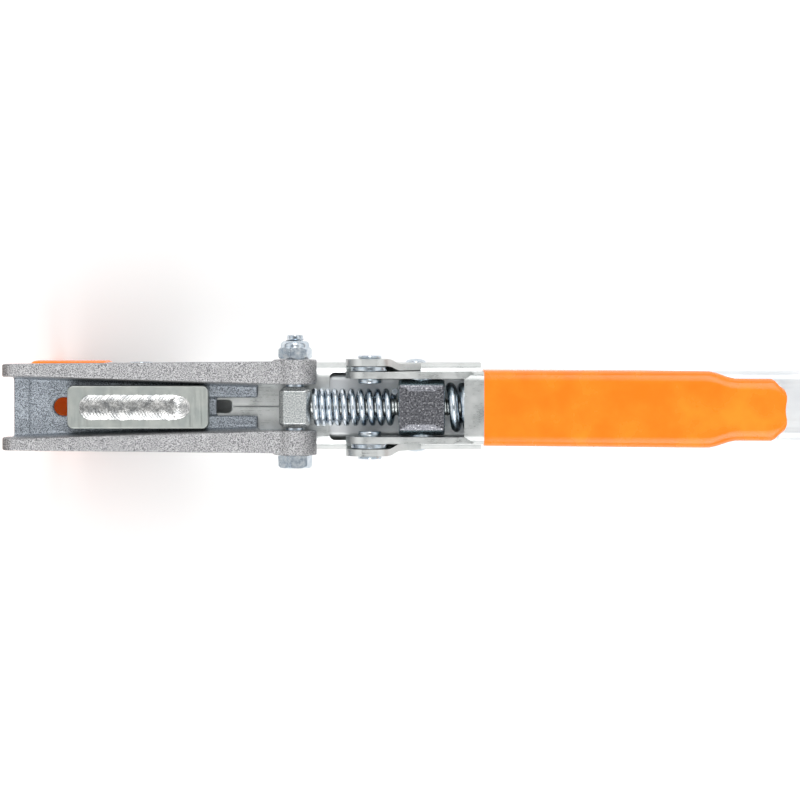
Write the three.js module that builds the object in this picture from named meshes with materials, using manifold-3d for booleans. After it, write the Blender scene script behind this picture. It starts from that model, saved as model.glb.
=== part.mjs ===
// Lever-operated over-centre clamp head on a square tube.
// Millimetres, +Z up. X runs along the tube and Y across it. The origin is on the sleeve's underside,
// straight below the lever's pivot. The lever is modelled closed.
import * as THREE from "three";
import { ConvexGeometry } from "three/addons/geometries/ConvexGeometry.js";
import { mergeVertices } from "three/addons/utils/BufferGeometryUtils.js";
import Module from "manifold-3d";

const wasm = await Module();
wasm.setup();

// ---- driving dimensions ----------------------------------------------------------------------

// Clearances
const GAP = 0.3; // between pieces that touch
const FIT = 0.8; // round the tube in its sleeve
const RUN = 0.2; // round a pin in its hole

// Square tube and its plug
const TUBE = 30;
const TUBE_WALL = 2.5;
const TUBE_CORNER = 3.7;
const TUBE_RIGHT = 300;
const TUBE_END_GAP = 8; // from the sleeve's lips to the tube's hidden end
const PLUG_HEAD = 4;
const PLUG_DEPTH = 22;
const PLUG_WALL = 2;

// Folded sleeve that holds the tube
const SHEET = 3;
const SLEEVE_RIGHT = 48.4;
const WINDOW_LEFT = -17.6;
const WINDOW_RIM = 4.1;
const LIP_LEFT = -68.3;
const SEAM = 0.7;
const SEAM_HOLE = 5.9; // round opening at the seam's end
const SEAM_HOLE_LENGTH = 9;

// Left end of the sleeve: two cheeks and a fixed jaw, dipped in vinyl
const FRAME_LEFT = -148.6;
const CHEEK_DROP = 9; // how far the cheeks fall away below the jaw head
const CHEEK_FALL_START = -90;
const END_WALL_BELOW = 1; // top of the end wall below the cheeks' ends
const FIXED_JAW_DEPTH = 48;
const FIXED_JAW_FLANGE = 6.1;
const COAT = 1.2;
const COAT_RIGHT = -114.5;

// Linkage
const OVER_CENTRE = 1.5; // the closed rod passes this far below the pivot
const BLOCK_X = 22.3;
const BOLT_X = -32.2;
const ROD_DIAMETER = 8;

// Ears on the sleeve that carry the lever, pushed out round the pivot
const EAR_LEFT = -10.4;
const EAR_RIGHT = 22;
const EAR_RISE = 9; // top of the ear above the pivot
const EAR_STEP = 2;
const EAR_STEP_END = 7.8;
const EAR_STEP_RUN = 5.6;
const PIVOT_RADIUS = 4;
const PIVOT_HEAD_RADIUS = 5.05;
const PIVOT_OUTER_HEAD = 1.3;
const PIVOT_INNER_HEAD = 2;
const PIVOT_WASHER_RADIUS = 8;
const SLEEVE_RIVET_X = 20;
const SLEEVE_RIVET_RADIUS = 4.45;
const SLEEVE_RIVET_DOME = 1.4;
const SLEEVE_RIVET_SHANK = 2.4;

// Lever
const LEVER_SIDE_CLEAR = 0.4; // between the lever's plates and the ears
const LEVER_SHEET = 2.9;
const LEVER_BEND = 3.9; // outer radius of its folds
const LEVER_LOBE_CLEAR = 1.3; // round end above the sleeve's rims
const WEB_LEFT = 40.4;
const WEB_TOP = 13.1; // above the pivot, at the web's left end
const LEVER_SLOPE = 11; // degrees
const LEVER_SKIRT = 20; // depth of the channel at its tip
const LEVER_KNEE = 44;
const LEVER_TAPER_START = 110; // where the skirts start to run out
const LEVER_NECK_START = 142; // past here the lever is a shallow tongue
const LEVER_NECK_END = 155;
const LEVER_NECK_HALF = 12.3;
const LEVER_TIP = 174.1;
const LEVER_TIP_ROUND = 5;
const GRIP_LEFT = 48.8;
const GRIP_COAT = 0.8;
const GRIP_GAP = 0.25;

// Trunnion block
const BLOCK_LENGTH = 19.8;
const BLOCK_SIDE_CLEAR = 0.6; // between the block and the lever's plates
const BLOCK_HEIGHT = 19.8;
const BLOCK_BEVEL = 1.6;
const BLOCK_BORE_PLAY = 0.3;
const BLOCK_BORE_DROP = 1.9; // the bore is longer downwards, for the rod's swing
const TRUNNION_RADIUS = 5;
const TRUNNION_REACH = 8.4;

// Rod, springs and nuts
const EYE_LENGTH = 13.4;
const EYE_SIDE_CLEAR = 1.1; // between the rod's eye and the lugs
const EYE_CHAMFER = 1;
const ROD_RIGHT = 74;
const RETURN_SPRING = { outer: 16.2, wire: 2.5, coils: 10, endCoils: 1, sides: 8, steps: 12 };
const HEAVY_SPRING = { outer: 21.5, wire: 4.3, coils: 4, endCoils: 0.5, sides: 10, steps: 14 };
const HEAVY_LENGTH = 25;
const HEAVY_CLEAR = 3.25; // below the heavy spring, to the tube
const SEAT_RADIUS = 10.5;
const SEAT_THICKNESS = 2.3;
const NUT_FLATS = 13;
const NUT_HEX = 4.9;
const NUT_COLLAR = 2.8;
const BOLT_HEAD = 5.3;
const BOLT_TAIL = 2.6;

// Cast jaw head
const HEAD_LEFT = -158.5;
const HEAD_LIFT = 0.8; // above the sleeve's lips
const HEAD_FLOOR = 4.6;
const HEAD_FLOOR_LEFT = -154;
const HEAD_FLOOR_RIGHT = -48.6;
const HEAD_INSET_LEFT = 0.2; // inside the sleeve's width at its left end
const HEAD_PROUD_RIGHT = 0.9; // outside the sleeve's width by the lugs
const ARM_WIDTH_LEFT = 4.4;
const ARM_WIDTH_RIGHT = 9.3;
const ARM_RIGHT = -45;
const ARM_HEIGHT_LEFT = 13.5;
const ARM_HEIGHT_RIGHT = 16.8;
const HEAD_SLOT = 7.8;
const HEAD_HOLE = 8;
const HEAD_HOLE_LEFT = -137;
const HEAD_HOLE_LENGTH = 10;
const LUG_RADIUS = 9.3;
const LUG_PROUD = 1.75; // outside the sleeve's width
const LUG_CLEAR = 0.9; // above the sleeve's lips
const LUG_LENGTH = 10.6;
const BOSS_WALL = 5.25;
const BOSS_SIDE_WALL = 3.35;
const BOSS_CORNER = 2.6;
const BOSS_HEIGHT = 12.4;

// Swinging jaw: a flat bar let into the head and welded flush
const BAR_LEFT = -125.7;
const BAR_WIDTH = 49.7;
const BAR_THICKNESS = 12;
const BAR_DEPTH = 46;
const WELD_DEPTH = 3.4;
const WELD_CROWN = 0.8;
const WELD_RIPPLES = 9;
const JAW_PIN_RADIUS = 5;
const JAW_PIN_PROUD = 0.3;
const SPACER_RADIUS = 8;
const PAD_THICKNESS = 8;
const PAD_WIDTH = 30;
const PAD_HEIGHT = 32;
const PAD_TEETH = 7;
const PAD_TOOTH = 1.4;

// ---- sizes that follow from them -------------------------------------------------------------

const sleeveIn = TUBE / 2 + FIT;
const sleeveOut = sleeveIn + SHEET;
const tubeMid = SHEET + FIT + TUBE / 2;
const tubeTop = tubeMid + TUBE / 2;
const lipTop = tubeMid + sleeveOut;
const rodZ = Math.max(
  tubeTop + HEAVY_SPRING.outer / 2 + HEAVY_CLEAR,
  lipTop + LUG_RADIUS + LUG_CLEAR,
);
const pivotZ = rodZ + OVER_CENTRE;
const tubeLeft = LIP_LEFT + TUBE_END_GAP;
const windowHalf = sleeveOut - WINDOW_RIM;
const leverHalf = sleeveIn - LEVER_SIDE_CLEAR;
const leverIn = leverHalf - LEVER_SHEET;
const blockWidth = 2 * (leverIn - BLOCK_SIDE_CLEAR);
const leverLobe = pivotZ - lipTop - LEVER_LOBE_CLEAR;
const leverRise = Math.tan(THREE.MathUtils.degToRad(LEVER_SLOPE));
const earOut = sleeveOut + EAR_STEP;
const earIn = sleeveIn + EAR_STEP;
const rodRadius = ROD_DIAMETER / 2;
const heavyLeft = BLOCK_X + BLOCK_LENGTH / 2 + GAP;
const seatX = heavyLeft + HEAVY_LENGTH + GAP;
const nutX = seatX + SEAT_THICKNESS + GAP;
const headBottom = lipTop + HEAD_LIFT;
const floorTop = headBottom + HEAD_FLOOR;
const headHalfLeft = sleeveOut - HEAD_INSET_LEFT;
const headHalfRight = sleeveOut + HEAD_PROUD_RIGHT;
const lugOut = sleeveOut + LUG_PROUD;
const lugIn = lugOut - LUG_LENGTH;
const eyeWidth = 2 * (lugIn - EYE_SIDE_CLEAR);
const bossTop = headBottom + BOSS_HEIGHT;
const barMid = BAR_LEFT + BAR_WIDTH / 2;
const barRight = BAR_LEFT + BAR_WIDTH;
const barTop = bossTop - WELD_DEPTH;

// ---- shaping ---------------------------------------------------------------------------------

// A closed geometry as a manifold-3d solid, with its faces turned outwards.
function solid(geometry) {
  const plain = geometry.clone();
  plain.deleteAttribute("normal");
  plain.deleteAttribute("uv");
  const merged = mergeVertices(plain, 1e-4);
  const build = (triVerts) =>
    new wasm.Manifold(
      new wasm.Mesh({ numProp: 3, vertProperties: merged.attributes.position.array, triVerts }),
    );
  const index = new Uint32Array(merged.index.array);
  const made = build(index);
  return made.volume() < 0 ? build(index.reverse()) : made;
}

// A solid as a geometry that a mesh can show.
function geometryOf(made) {
  const mesh = made.getMesh();
  const geometry = new THREE.BufferGeometry();
  geometry.setAttribute("position", new THREE.BufferAttribute(mesh.vertProperties, 3));
  geometry.setIndex(new THREE.BufferAttribute(mesh.triVerts, 1));
  geometry.computeVertexNormals();
  return geometry;
}

const BASES = {
  x: new THREE.Matrix4().set(0, 0, 1, 0, 1, 0, 0, 0, 0, 1, 0, 0, 0, 0, 0, 1), // outline in Y, Z
  y: new THREE.Matrix4().set(1, 0, 0, 0, 0, 0, -1, 0, 0, 1, 0, 0, 0, 0, 0, 1), // outline in X, Z
  z: new THREE.Matrix4(), // outline in X, Y
};

// An outline pushed along an axis from one place to another.
function prism(shape, axis, from, to, curveSegments = 8) {
  const geometry = new THREE.ExtrudeGeometry(shape, {
    depth: to - from,
    bevelEnabled: false,
    curveSegments,
  });
  geometry.translate(0, 0, axis === "y" ? -to : from);
  return solid(geometry.applyMatrix4(BASES[axis]));
}

function polygon(points) {
  return new THREE.Shape(points.map(([a, b]) => new THREE.Vector2(a, b)));
}

// A rectangle with round corners, given by its sides.
function rounded(left, right, low, high, radius) {
  const r = Math.min(radius, (right - left) / 2 - 0.01, (high - low) / 2 - 0.01);
  return new THREE.Shape()
    .moveTo(left + r, low)
    .lineTo(right - r, low)
    .absarc(right - r, low + r, r, -Math.PI / 2, 0)
    .lineTo(right, high - r)
    .absarc(right - r, high - r, r, 0, Math.PI / 2)
    .lineTo(left + r, high)
    .absarc(left + r, high - r, r, Math.PI / 2, Math.PI)
    .lineTo(left, low + r)
    .absarc(left + r, low + r, r, Math.PI, 1.5 * Math.PI);
}

function box(x0, x1, y0, y1, z0, z1) {
  const geometry = new THREE.BoxGeometry(x1 - x0, y1 - y0, z1 - z0);
  return solid(geometry.translate((x0 + x1) / 2, (y0 + y1) / 2, (z0 + z1) / 2));
}

// A turned piece: [radius, distance] points along the Y axis, low end first.
function turned(points, segments = 20) {
  const profile = points.map(([r, y]) => new THREE.Vector2(r, y));
  return solid(new THREE.LatheGeometry(profile, segments));
}

function rod(radius, from, to, segments = 20) {
  return turned([[0, from], [radius, from], [radius, to], [0, to]], segments);
}

// A round hole or pin across the object at a place in X and Z.
function acrossY(radius, x, z, from, to, segments = 20) {
  return rod(radius, from, to, segments).translate([x, 0, z]);
}

function hexagon(flats) {
  const corners = Array.from({ length: 6 }, (_, i) => {
    const angle = (i * Math.PI) / 3;
    return [(Math.cos(angle) * flats) / Math.sqrt(3), (Math.sin(angle) * flats) / Math.sqrt(3)];
  });
  return polygon(corners);
}

// A skin through outlines of equal length, each [y, z] at its own x, closed at both ends.
function loft(stations) {
  const count = stations[0].outline.length;
  const positions = [];
  for (const { x, outline } of stations) for (const [y, z] of outline) positions.push(x, y, z);
  const index = [];
  for (let s = 0; s + 1 < stations.length; s++)
    for (let i = 0; i < count; i++) {
      const a = s * count + i;
      const b = s * count + ((i + 1) % count);
      index.push(a, b, b + count, a, b + count, a + count);
    }
  const flat = stations[0].outline.map(([y, z]) => new THREE.Vector2(y, z));
  const last = (stations.length - 1) * count;
  for (const [a, b, c] of THREE.ShapeUtils.triangulateShape(flat, [])) {
    index.push(a, c, b);
    index.push(last + a, last + b, last + c);
  }
  const geometry = new THREE.BufferGeometry();
  geometry.setAttribute("position", new THREE.Float32BufferAttribute(positions, 3));
  geometry.setIndex(index);
  return solid(geometry);
}

// ---- materials -------------------------------------------------------------------------------

const finish = (color, roughness, metalness) =>
  new THREE.MeshStandardMaterial({ color, roughness, metalness });
const brightZinc = () => finish(0xd9dedd, 0.3, 1);
const castZinc = () => finish(0xa3abb0, 0.55, 1);
const blueZinc = () => finish(0xb9c4cf, 0.22, 1);
const darkSteel = () => finish(0x5c5960, 0.3, 1);
const aluminium = () => finish(0xe4e6e8, 0.4, 1);
const orangeVinyl = () => finish(0xff9222, 0.38, 0);
const blackPlastic = () => finish(0x1c1c1d, 0.5, 0);
const nylon = () => finish(0xe8e6dc, 0.5, 0);

function piece(name, made, material, place = [0, 0, 0]) {
  const mesh = new THREE.Mesh(geometryOf(made), material);
  mesh.name = name;
  mesh.position.set(...place);
  return mesh;
}

// ---- square tube and plug --------------------------------------------------------------------

const squareOutline = (half, corner) =>
  rounded(-half, half, tubeMid - half, tubeMid + half, corner);

function squareTube() {
  const outline = squareOutline(TUBE / 2, TUBE_CORNER);
  outline.holes.push(squareOutline(TUBE / 2 - TUBE_WALL, TUBE_CORNER - TUBE_WALL));
  return prism(outline, "x", tubeLeft, TUBE_RIGHT, 4);
}

function tubeEndPlug() {
  const inside = TUBE / 2 - TUBE_WALL - GAP;
  const head = prism(
    squareOutline(TUBE / 2, TUBE_CORNER), "x", TUBE_RIGHT + GAP, TUBE_RIGHT + PLUG_HEAD, 4,
  );
  const stem = prism(
    squareOutline(inside, TUBE_CORNER - TUBE_WALL), "x",
    TUBE_RIGHT - PLUG_DEPTH, TUBE_RIGHT + GAP + 1, 4,
  );
  const hollow = prism(
    squareOutline(inside - PLUG_WALL, 1), "x", TUBE_RIGHT - PLUG_DEPTH - 1, TUBE_RIGHT, 4,
  );
  return head.add(stem).subtract(hollow);
}

// ---- sleeve, cheeks and fixed jaw ------------------------------------------------------------

const cheekTop = tubeMid + TUBE / 2 - 1;

// The cheeks, their floor and the fixed jaw, each wall grown by a skin's thickness.
function jawEnd(skin, right) {
  const left = FRAME_LEFT - skin;
  const side = polygon([
    [left, -skin],
    [right, -skin],
    [right, cheekTop + skin],
    [CHEEK_FALL_START, cheekTop + skin],
    [left, cheekTop - CHEEK_DROP + skin],
  ]);
  const flange = (from, to) =>
    prism(side, "y", from, to).add(
      box(left, FRAME_LEFT + FIXED_JAW_FLANGE + skin, from, to, -FIXED_JAW_DEPTH - skin, skin),
    );
  const out = sleeveOut + skin;
  const inner = sleeveIn - skin;
  const floor = box(left, right, -out, out, -skin, SHEET + skin);
  const wall = box(
    left, FRAME_LEFT + SHEET + skin, -out, out,
    -FIXED_JAW_DEPTH - skin, cheekTop - CHEEK_DROP - END_WALL_BELOW + skin,
  );
  return flange(-out, -inner).add(flange(inner, out)).add(floor).add(wall);
}

// One ear: a plate stepped outwards round the pivot, with a round top.
function ear() {
  const height = pivotZ + EAR_RISE - tubeMid;
  const length = EAR_RIGHT - EAR_LEFT;
  const plate = new THREE.BoxGeometry(length, SHEET, height, 10, 1, 6);
  plate.translate(EAR_LEFT + length / 2, sleeveIn + SHEET / 2, tubeMid + height / 2);
  const place = plate.attributes.position;
  for (let i = 0; i < place.count; i++) {
    const { smoothstep } = THREE.MathUtils;
    const along = 1 - smoothstep(place.getX(i), EAR_STEP_END, EAR_STEP_END + EAR_STEP_RUN);
    const up = smoothstep(place.getZ(i), tubeTop - 4, lipTop);
    place.setY(i, place.getY(i) + EAR_STEP * along * up);
  }
  const top = -EAR_LEFT;
  const outline = new THREE.Shape()
    .moveTo(EAR_LEFT, tubeMid)
    .lineTo(EAR_RIGHT, tubeMid)
    .lineTo(EAR_RIGHT, lipTop)
    .lineTo(top * Math.cos(0.5), pivotZ + top * Math.sin(0.5))
    .absarc(0, pivotZ, top, 0.5, Math.PI)
    .lineTo(EAR_LEFT, tubeMid);
  return solid(plate).intersect(prism(outline, "y", 0, 2 * sleeveOut, 10));
}

function sleeveFrame() {
  const outline = squareOutline(sleeveOut, TUBE_CORNER + FIT + SHEET / 2);
  outline.holes.push(squareOutline(sleeveIn, TUBE_CORNER + FIT));
  let made = prism(outline, "x", LIP_LEFT, SLEEVE_RIGHT, 4);
  made = made.add(jawEnd(0, LIP_LEFT + 1));

  // Room over the tube: the seam between the lips, its round end, and the window under the lever
  const above = tubeTop - 1;
  const clear = lipTop + 1;
  const seamLeft = LIP_LEFT + SEAM_HOLE_LENGTH;
  made = made.subtract(box(seamLeft - 1, WINDOW_LEFT + 1, -SEAM / 2, SEAM / 2, above, clear));
  const drop = new THREE.Shape()
    .moveTo(LIP_LEFT - 1, SEAM_HOLE / 2)
    .lineTo(LIP_LEFT - 1, -SEAM_HOLE / 2)
    .lineTo(seamLeft - SEAM_HOLE, -SEAM_HOLE / 2)
    .quadraticCurveTo(seamLeft - SEAM_HOLE / 3, -SEAM_HOLE / 2, seamLeft, -SEAM / 2)
    .lineTo(seamLeft, SEAM / 2)
    .quadraticCurveTo(seamLeft - SEAM_HOLE / 3, SEAM_HOLE / 2, seamLeft - SEAM_HOLE, SEAM_HOLE / 2);
  made = made.subtract(prism(drop, "z", above, clear, 6));
  const window = rounded(WINDOW_LEFT, SLEEVE_RIGHT + 10, -windowHalf, windowHalf, 2.2);
  made = made.subtract(prism(window, "z", above, clear, 4));

  // Slot in the floor for the swinging bar
  const slotHalf = BAR_THICKNESS / 2 + 2;
  made = made.subtract(box(BAR_LEFT - 1.5, barRight + 6.5, -slotHalf, slotHalf, -1, SHEET + 1));

  for (const side of [1, -1]) {
    const one = side > 0 ? ear() : ear().mirror([0, 1, 0]);
    made = made.add(one);
  }
  const reach = earOut + 1;
  made = made.subtract(acrossY(PIVOT_RADIUS + RUN, 0, pivotZ, -reach, reach));
  made = made.subtract(acrossY(SLEEVE_RIVET_SHANK + RUN, SLEEVE_RIVET_X, tubeMid, -reach, reach));
  return made.subtract(acrossY(JAW_PIN_RADIUS + RUN, barMid, tubeMid, -reach, reach));
}

function fixedJawCoating() {
  const cut = box(FRAME_LEFT - 10, COAT_RIGHT, -40, 40, -FIXED_JAW_DEPTH - 10, lipTop + 10);
  const slotHalf = BAR_THICKNESS / 2 + 2 - GAP;
  const slotLeft = BAR_LEFT - 1.5 + GAP;
  const slot = box(slotLeft, LIP_LEFT, -slotHalf, slotHalf, -COAT - 1, SHEET + COAT + 1);
  const skin = jawEnd(COAT, LIP_LEFT).subtract(jawEnd(GAP, LIP_LEFT + 1));
  return skin.intersect(cut).subtract(slot);
}

// ---- rivets and washers ----------------------------------------------------------------------

// A domed head on a shank that ends flush inside the sleeve, along +Y from the sheet's outside.
function sleeveRivet() {
  const dome = Array.from({ length: 5 }, (_, i) => {
    const angle = (i * Math.PI) / 8;
    return [SLEEVE_RIVET_RADIUS * Math.cos(angle), GAP + SLEEVE_RIVET_DOME * Math.sin(angle)];
  });
  dome[4][0] = 0;
  return turned([[0, -SHEET], [SLEEVE_RIVET_SHANK, -SHEET], [SLEEVE_RIVET_SHANK, GAP], ...dome]);
}

// The lever's pivot: a shank with a flat head outside the ear and one inside the lever.
function pivotRivet() {
  const inner = leverIn - RUN;
  const outer = earOut + RUN;
  return turned([
    [0, inner - PIVOT_INNER_HEAD],
    [PIVOT_HEAD_RADIUS - 0.5, inner - PIVOT_INNER_HEAD],
    [PIVOT_HEAD_RADIUS, inner - PIVOT_INNER_HEAD + 0.5],
    [PIVOT_HEAD_RADIUS, inner],
    [PIVOT_RADIUS, inner],
    [PIVOT_RADIUS, outer],
    [PIVOT_HEAD_RADIUS, outer],
    [PIVOT_HEAD_RADIUS, outer + PIVOT_OUTER_HEAD - 0.5],
    [PIVOT_HEAD_RADIUS - 0.5, outer + PIVOT_OUTER_HEAD],
    [0, outer + PIVOT_OUTER_HEAD],
  ]);
}

// A ring: hole and outer radius, from one distance to another along Y.
function ring(hole, outer, from, to, segments = 20) {
  return turned([[hole, from], [outer, from], [outer, to], [hole, to], [hole, from]], segments);
}

function pivotWasher() {
  return ring(PIVOT_RADIUS + RUN, PIVOT_WASHER_RADIUS, leverHalf + RUN, earIn - RUN);
}

// ---- lever -----------------------------------------------------------------------------------
// Its shapes are taken about the pivot.

const webTopAt = (x) => WEB_TOP + (x - WEB_LEFT) * leverRise;

// The skirts' lower edge: level to the knee, then rising, and running out into the tongue's rim.
function skirtAt(x) {
  const tip = webTopAt(LEVER_TIP) - LEVER_SKIRT;
  const share = Math.max(0, (x - LEVER_KNEE) / (LEVER_TIP - LEVER_KNEE));
  const straight = -leverLobe + (tip + leverLobe) * share;
  const rim = webTopAt(x) - LEVER_BEND - GAP;
  const taper = THREE.MathUtils.smoothstep(x, LEVER_TAPER_START, LEVER_NECK_START);
  return straight + (rim - straight) * taper;
}

// Half the channel's width: straight, then drawn in to a neck with a round tip.
function leverHalfAt(x) {
  const neck = THREE.MathUtils.smoothstep(x, LEVER_NECK_START, LEVER_NECK_END);
  const half = leverHalf + (LEVER_NECK_HALF - leverHalf) * neck;
  const into = Math.max(0, x - (LEVER_TIP - LEVER_TIP_ROUND)) / LEVER_TIP_ROUND;
  return half - LEVER_TIP_ROUND * (1 - Math.sqrt(Math.max(0, 1 - into * into))) * 0.8;
}

// The folded channel from one x to another, each wall grown by a skin's thickness.
function channel(from, to, skin) {
  const steps = [from, LEVER_KNEE, LEVER_NECK_START, LEVER_NECK_END, LEVER_TIP - LEVER_TIP_ROUND];
  for (let i = 0; i < 5; i++) {
    steps.push(LEVER_TAPER_START + ((LEVER_NECK_START - LEVER_TAPER_START) * i) / 5);
    steps.push(LEVER_NECK_START + ((LEVER_NECK_END - LEVER_NECK_START) * i) / 5);
    steps.push(LEVER_TIP - LEVER_TIP_ROUND * (1 - i / 4));
  }
  steps.push(to);
  const stations = [...new Set(steps)].filter((x) => x >= from && x <= to).sort((a, b) => a - b);
  return loft(
    stations.map((x) => {
      const at = Math.min(x, LEVER_TIP);
      const half = leverHalfAt(at) + skin;
      const inner = half - LEVER_SHEET - 2 * skin;
      const top = webTopAt(x) + skin;
      const under = top - LEVER_SHEET - 2 * skin;
      const low = skirtAt(x) - skin;
      const bend = LEVER_BEND;
      const fold = LEVER_BEND - LEVER_SHEET;
      const outline = [[half, low]];
      for (let i = 0; i <= 4; i++) {
        const a = (Math.PI / 8) * i;
        outline.push([half - bend + bend * Math.cos(a), top - bend + bend * Math.sin(a)]);
      }
      for (let i = 0; i <= 4; i++) {
        const a = Math.PI / 2 + (Math.PI / 8) * i;
        outline.push([-half + bend + bend * Math.cos(a), top - bend + bend * Math.sin(a)]);
      }
      outline.push([-half, low], [-inner, low]);
      for (let i = 0; i <= 2; i++) {
        const a = Math.PI - (Math.PI / 4) * i;
        outline.push([-inner + fold + fold * Math.cos(a), under - fold + fold * Math.sin(a)]);
      }
      for (let i = 0; i <= 2; i++) {
        const a = Math.PI / 2 - (Math.PI / 4) * i;
        outline.push([inner - fold + fold * Math.cos(a), under - fold + fold * Math.sin(a)]);
      }
      outline.push([inner, low]);
      return { x, outline };
    }),
  );
}

function leverChannel() {
  const side = new THREE.Shape()
    .moveTo(0, -leverLobe)
    .lineTo(LEVER_KNEE, -leverLobe)
    .lineTo(WEB_LEFT + 6, skirtAt(WEB_LEFT + 6))
    .lineTo(WEB_LEFT + 6, webTopAt(WEB_LEFT + 6) - LEVER_BEND)
    .lineTo(WEB_LEFT, webTopAt(WEB_LEFT) - 0.4)
    .lineTo(0, leverLobe)
    .absarc(0, 0, leverLobe, Math.PI / 2, 1.5 * Math.PI);
  let made = channel(WEB_LEFT, LEVER_TIP, 0);
  for (const from of [-leverHalf, leverIn]) {
    made = made.add(prism(side, "y", from, from + LEVER_SHEET, 10));
  }
  const pin = { x: BLOCK_X, z: rodZ - pivotZ };
  made = made.subtract(acrossY(TRUNNION_RADIUS + RUN, pin.x, pin.z, -leverHalf - 1, leverHalf + 1));
  return made.subtract(acrossY(PIVOT_RADIUS + RUN, 0, 0, -leverHalf - 1, leverHalf + 1));
}

function leverGrip() {
  const skin = channel(GRIP_LEFT, LEVER_TIP + GRIP_COAT, GRIP_COAT);
  return skin.subtract(channel(GRIP_LEFT - 1, LEVER_TIP + GRIP_GAP, GRIP_GAP));
}

// ---- trunnion block --------------------------------------------------------------------------
// Its shapes are taken about the block's middle.

const trunnionOuter = leverHalf;
const trunnionInner = trunnionOuter - TRUNNION_REACH;

function bevelledBlock(length, width, height, bevel) {
  const half = [length / 2, width / 2, height / 2];
  const corners = [];
  for (let axis = 0; axis < 3; axis++)
    for (const sx of [-1, 1])
      for (const sy of [-1, 1])
        for (const sz of [-1, 1]) {
          const at = [half[0] - bevel, half[1] - bevel, half[2] - bevel];
          at[axis] = half[axis];
          corners.push(new THREE.Vector3(sx * at[0], sy * at[1], sz * at[2]));
        }
  return solid(new ConvexGeometry(corners));
}

function trunnionBlock() {
  const half = rodRadius + BLOCK_BORE_PLAY;
  const bore = rounded(-half, half, -half - BLOCK_BORE_DROP, half, half);
  const reach = BLOCK_LENGTH / 2 + 1;
  const holes = [1, -1].map((side) => {
    const from = side > 0 ? trunnionInner - GAP : -blockWidth;
    const to = side > 0 ? blockWidth : -trunnionInner + GAP;
    return acrossY(TRUNNION_RADIUS + RUN, 0, 0, from, to);
  });
  return bevelledBlock(BLOCK_LENGTH, blockWidth, BLOCK_HEIGHT, BLOCK_BEVEL)
    .subtract(prism(bore, "x", -reach, reach, 8))
    .subtract(holes[0])
    .subtract(holes[1]);
}

// ---- rod, springs and nuts -------------------------------------------------------------------
// Their shapes are taken about the rod's bolt.

function eyeRod() {
  const eye = bevelledBlock(EYE_LENGTH, eyeWidth, EYE_LENGTH, EYE_CHAMFER);
  const end = ROD_RIGHT - BOLT_X;
  const shank = turned([[0, 0], [rodRadius, 0], [rodRadius, end - 1], [rodRadius - 1, end], [0, end]]);
  return eye
    .add(shank.rotate([0, 0, -90]))
    .subtract(acrossY(rodRadius + RUN, 0, 0, -eyeWidth, eyeWidth));
}

// A coil of round wire along X, its end coils laid closer, between two faces.
class CoilCurve extends THREE.Curve {
  constructor(spring, from, to) {
    super();
    Object.assign(this, { spring, from, to });
  }

  getPoint(t, target = new THREE.Vector3()) {
    const { outer, wire, coils, endCoils } = this.spring;
    const turn = t * coils;
    const closed = Math.min(turn, endCoils) + Math.max(0, turn - (coils - endCoils));
    const open = turn - closed;
    const free = this.to - this.from - 2 * wire;
    const pitch = (free + wire - 2 * endCoils * wire * 1.1) / (coils - 2 * endCoils);
    const along = this.from + wire / 2 + closed * wire * 1.1 + open * pitch;
    const radius = (outer - wire) / 2;
    const angle = 2 * Math.PI * turn + Math.PI / 2;
    return target.set(along, radius * Math.cos(angle), radius * Math.sin(angle));
  }
}

function coil(spring, from, to) {
  const section = new THREE.Shape().absarc(0, 0, spring.wire / 2, 0, 2 * Math.PI);
  return solid(
    new THREE.ExtrudeGeometry(section, {
      steps: Math.round(spring.coils * spring.steps),
      curveSegments: spring.sides / 2,
      extrudePath: new CoilCurve(spring, from, to),
    }),
  );
}

// A locking nut: a hexagon with a round collar that holds a nylon ring, opening along +Y.
function lockNut() {
  const collar = NUT_FLATS / 2 - 0.4;
  const hex = prism(hexagon(NUT_FLATS), "y", 0, NUT_HEX);
  const round = turned([
    [0, NUT_HEX - 1],
    [collar, NUT_HEX - 1],
    [collar, NUT_HEX + NUT_COLLAR - 1],
    [collar - 1, NUT_HEX + NUT_COLLAR],
    [0, NUT_HEX + NUT_COLLAR],
  ]);
  const chamfer = turned([
    [0, -1],
    [NUT_FLATS / 2, -1],
    [NUT_FLATS / 2, 0],
    [NUT_FLATS / 2 + 1.5, 0.9],
    [NUT_FLATS / 2 + 1.5, NUT_HEX - 0.9],
    [NUT_FLATS / 2, NUT_HEX],
    [0, NUT_HEX],
  ]);
  const bore = rod(rodRadius + GAP, -1, NUT_HEX + NUT_COLLAR + 1);
  const pocket = rod(rodRadius + 1.3, NUT_HEX, NUT_HEX + NUT_COLLAR - 0.8);
  return hex.intersect(chamfer).add(round).subtract(bore).subtract(pocket);
}

function nylonRing() {
  const from = NUT_HEX + GAP;
  return ring(rodRadius + RUN, rodRadius + 1.3 - GAP, from, NUT_HEX + NUT_COLLAR - 0.8 - GAP);
}

function rodBolt() {
  const head = -lugOut - GAP;
  const tail = lugOut + GAP + NUT_HEX + NUT_COLLAR + BOLT_TAIL;
  const hex = prism(hexagon(NUT_FLATS), "y", head - BOLT_HEAD, head);
  const dome = turned([
    [0, head - BOLT_HEAD],
    [NUT_FLATS / 2 - 0.6, head - BOLT_HEAD],
    [NUT_FLATS / 2 + 1.5, head - BOLT_HEAD + 1.2],
    [NUT_FLATS / 2 + 1.5, head],
    [0, head],
  ]);
  const shank = turned([
    [0, head - 1],
    [rodRadius, head - 1],
    [rodRadius, tail - 1],
    [rodRadius - 1, tail],
    [0, tail],
  ]);
  return hex.intersect(dome).add(shank);
}

// ---- cast jaw head ---------------------------------------------------------------------------

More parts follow.
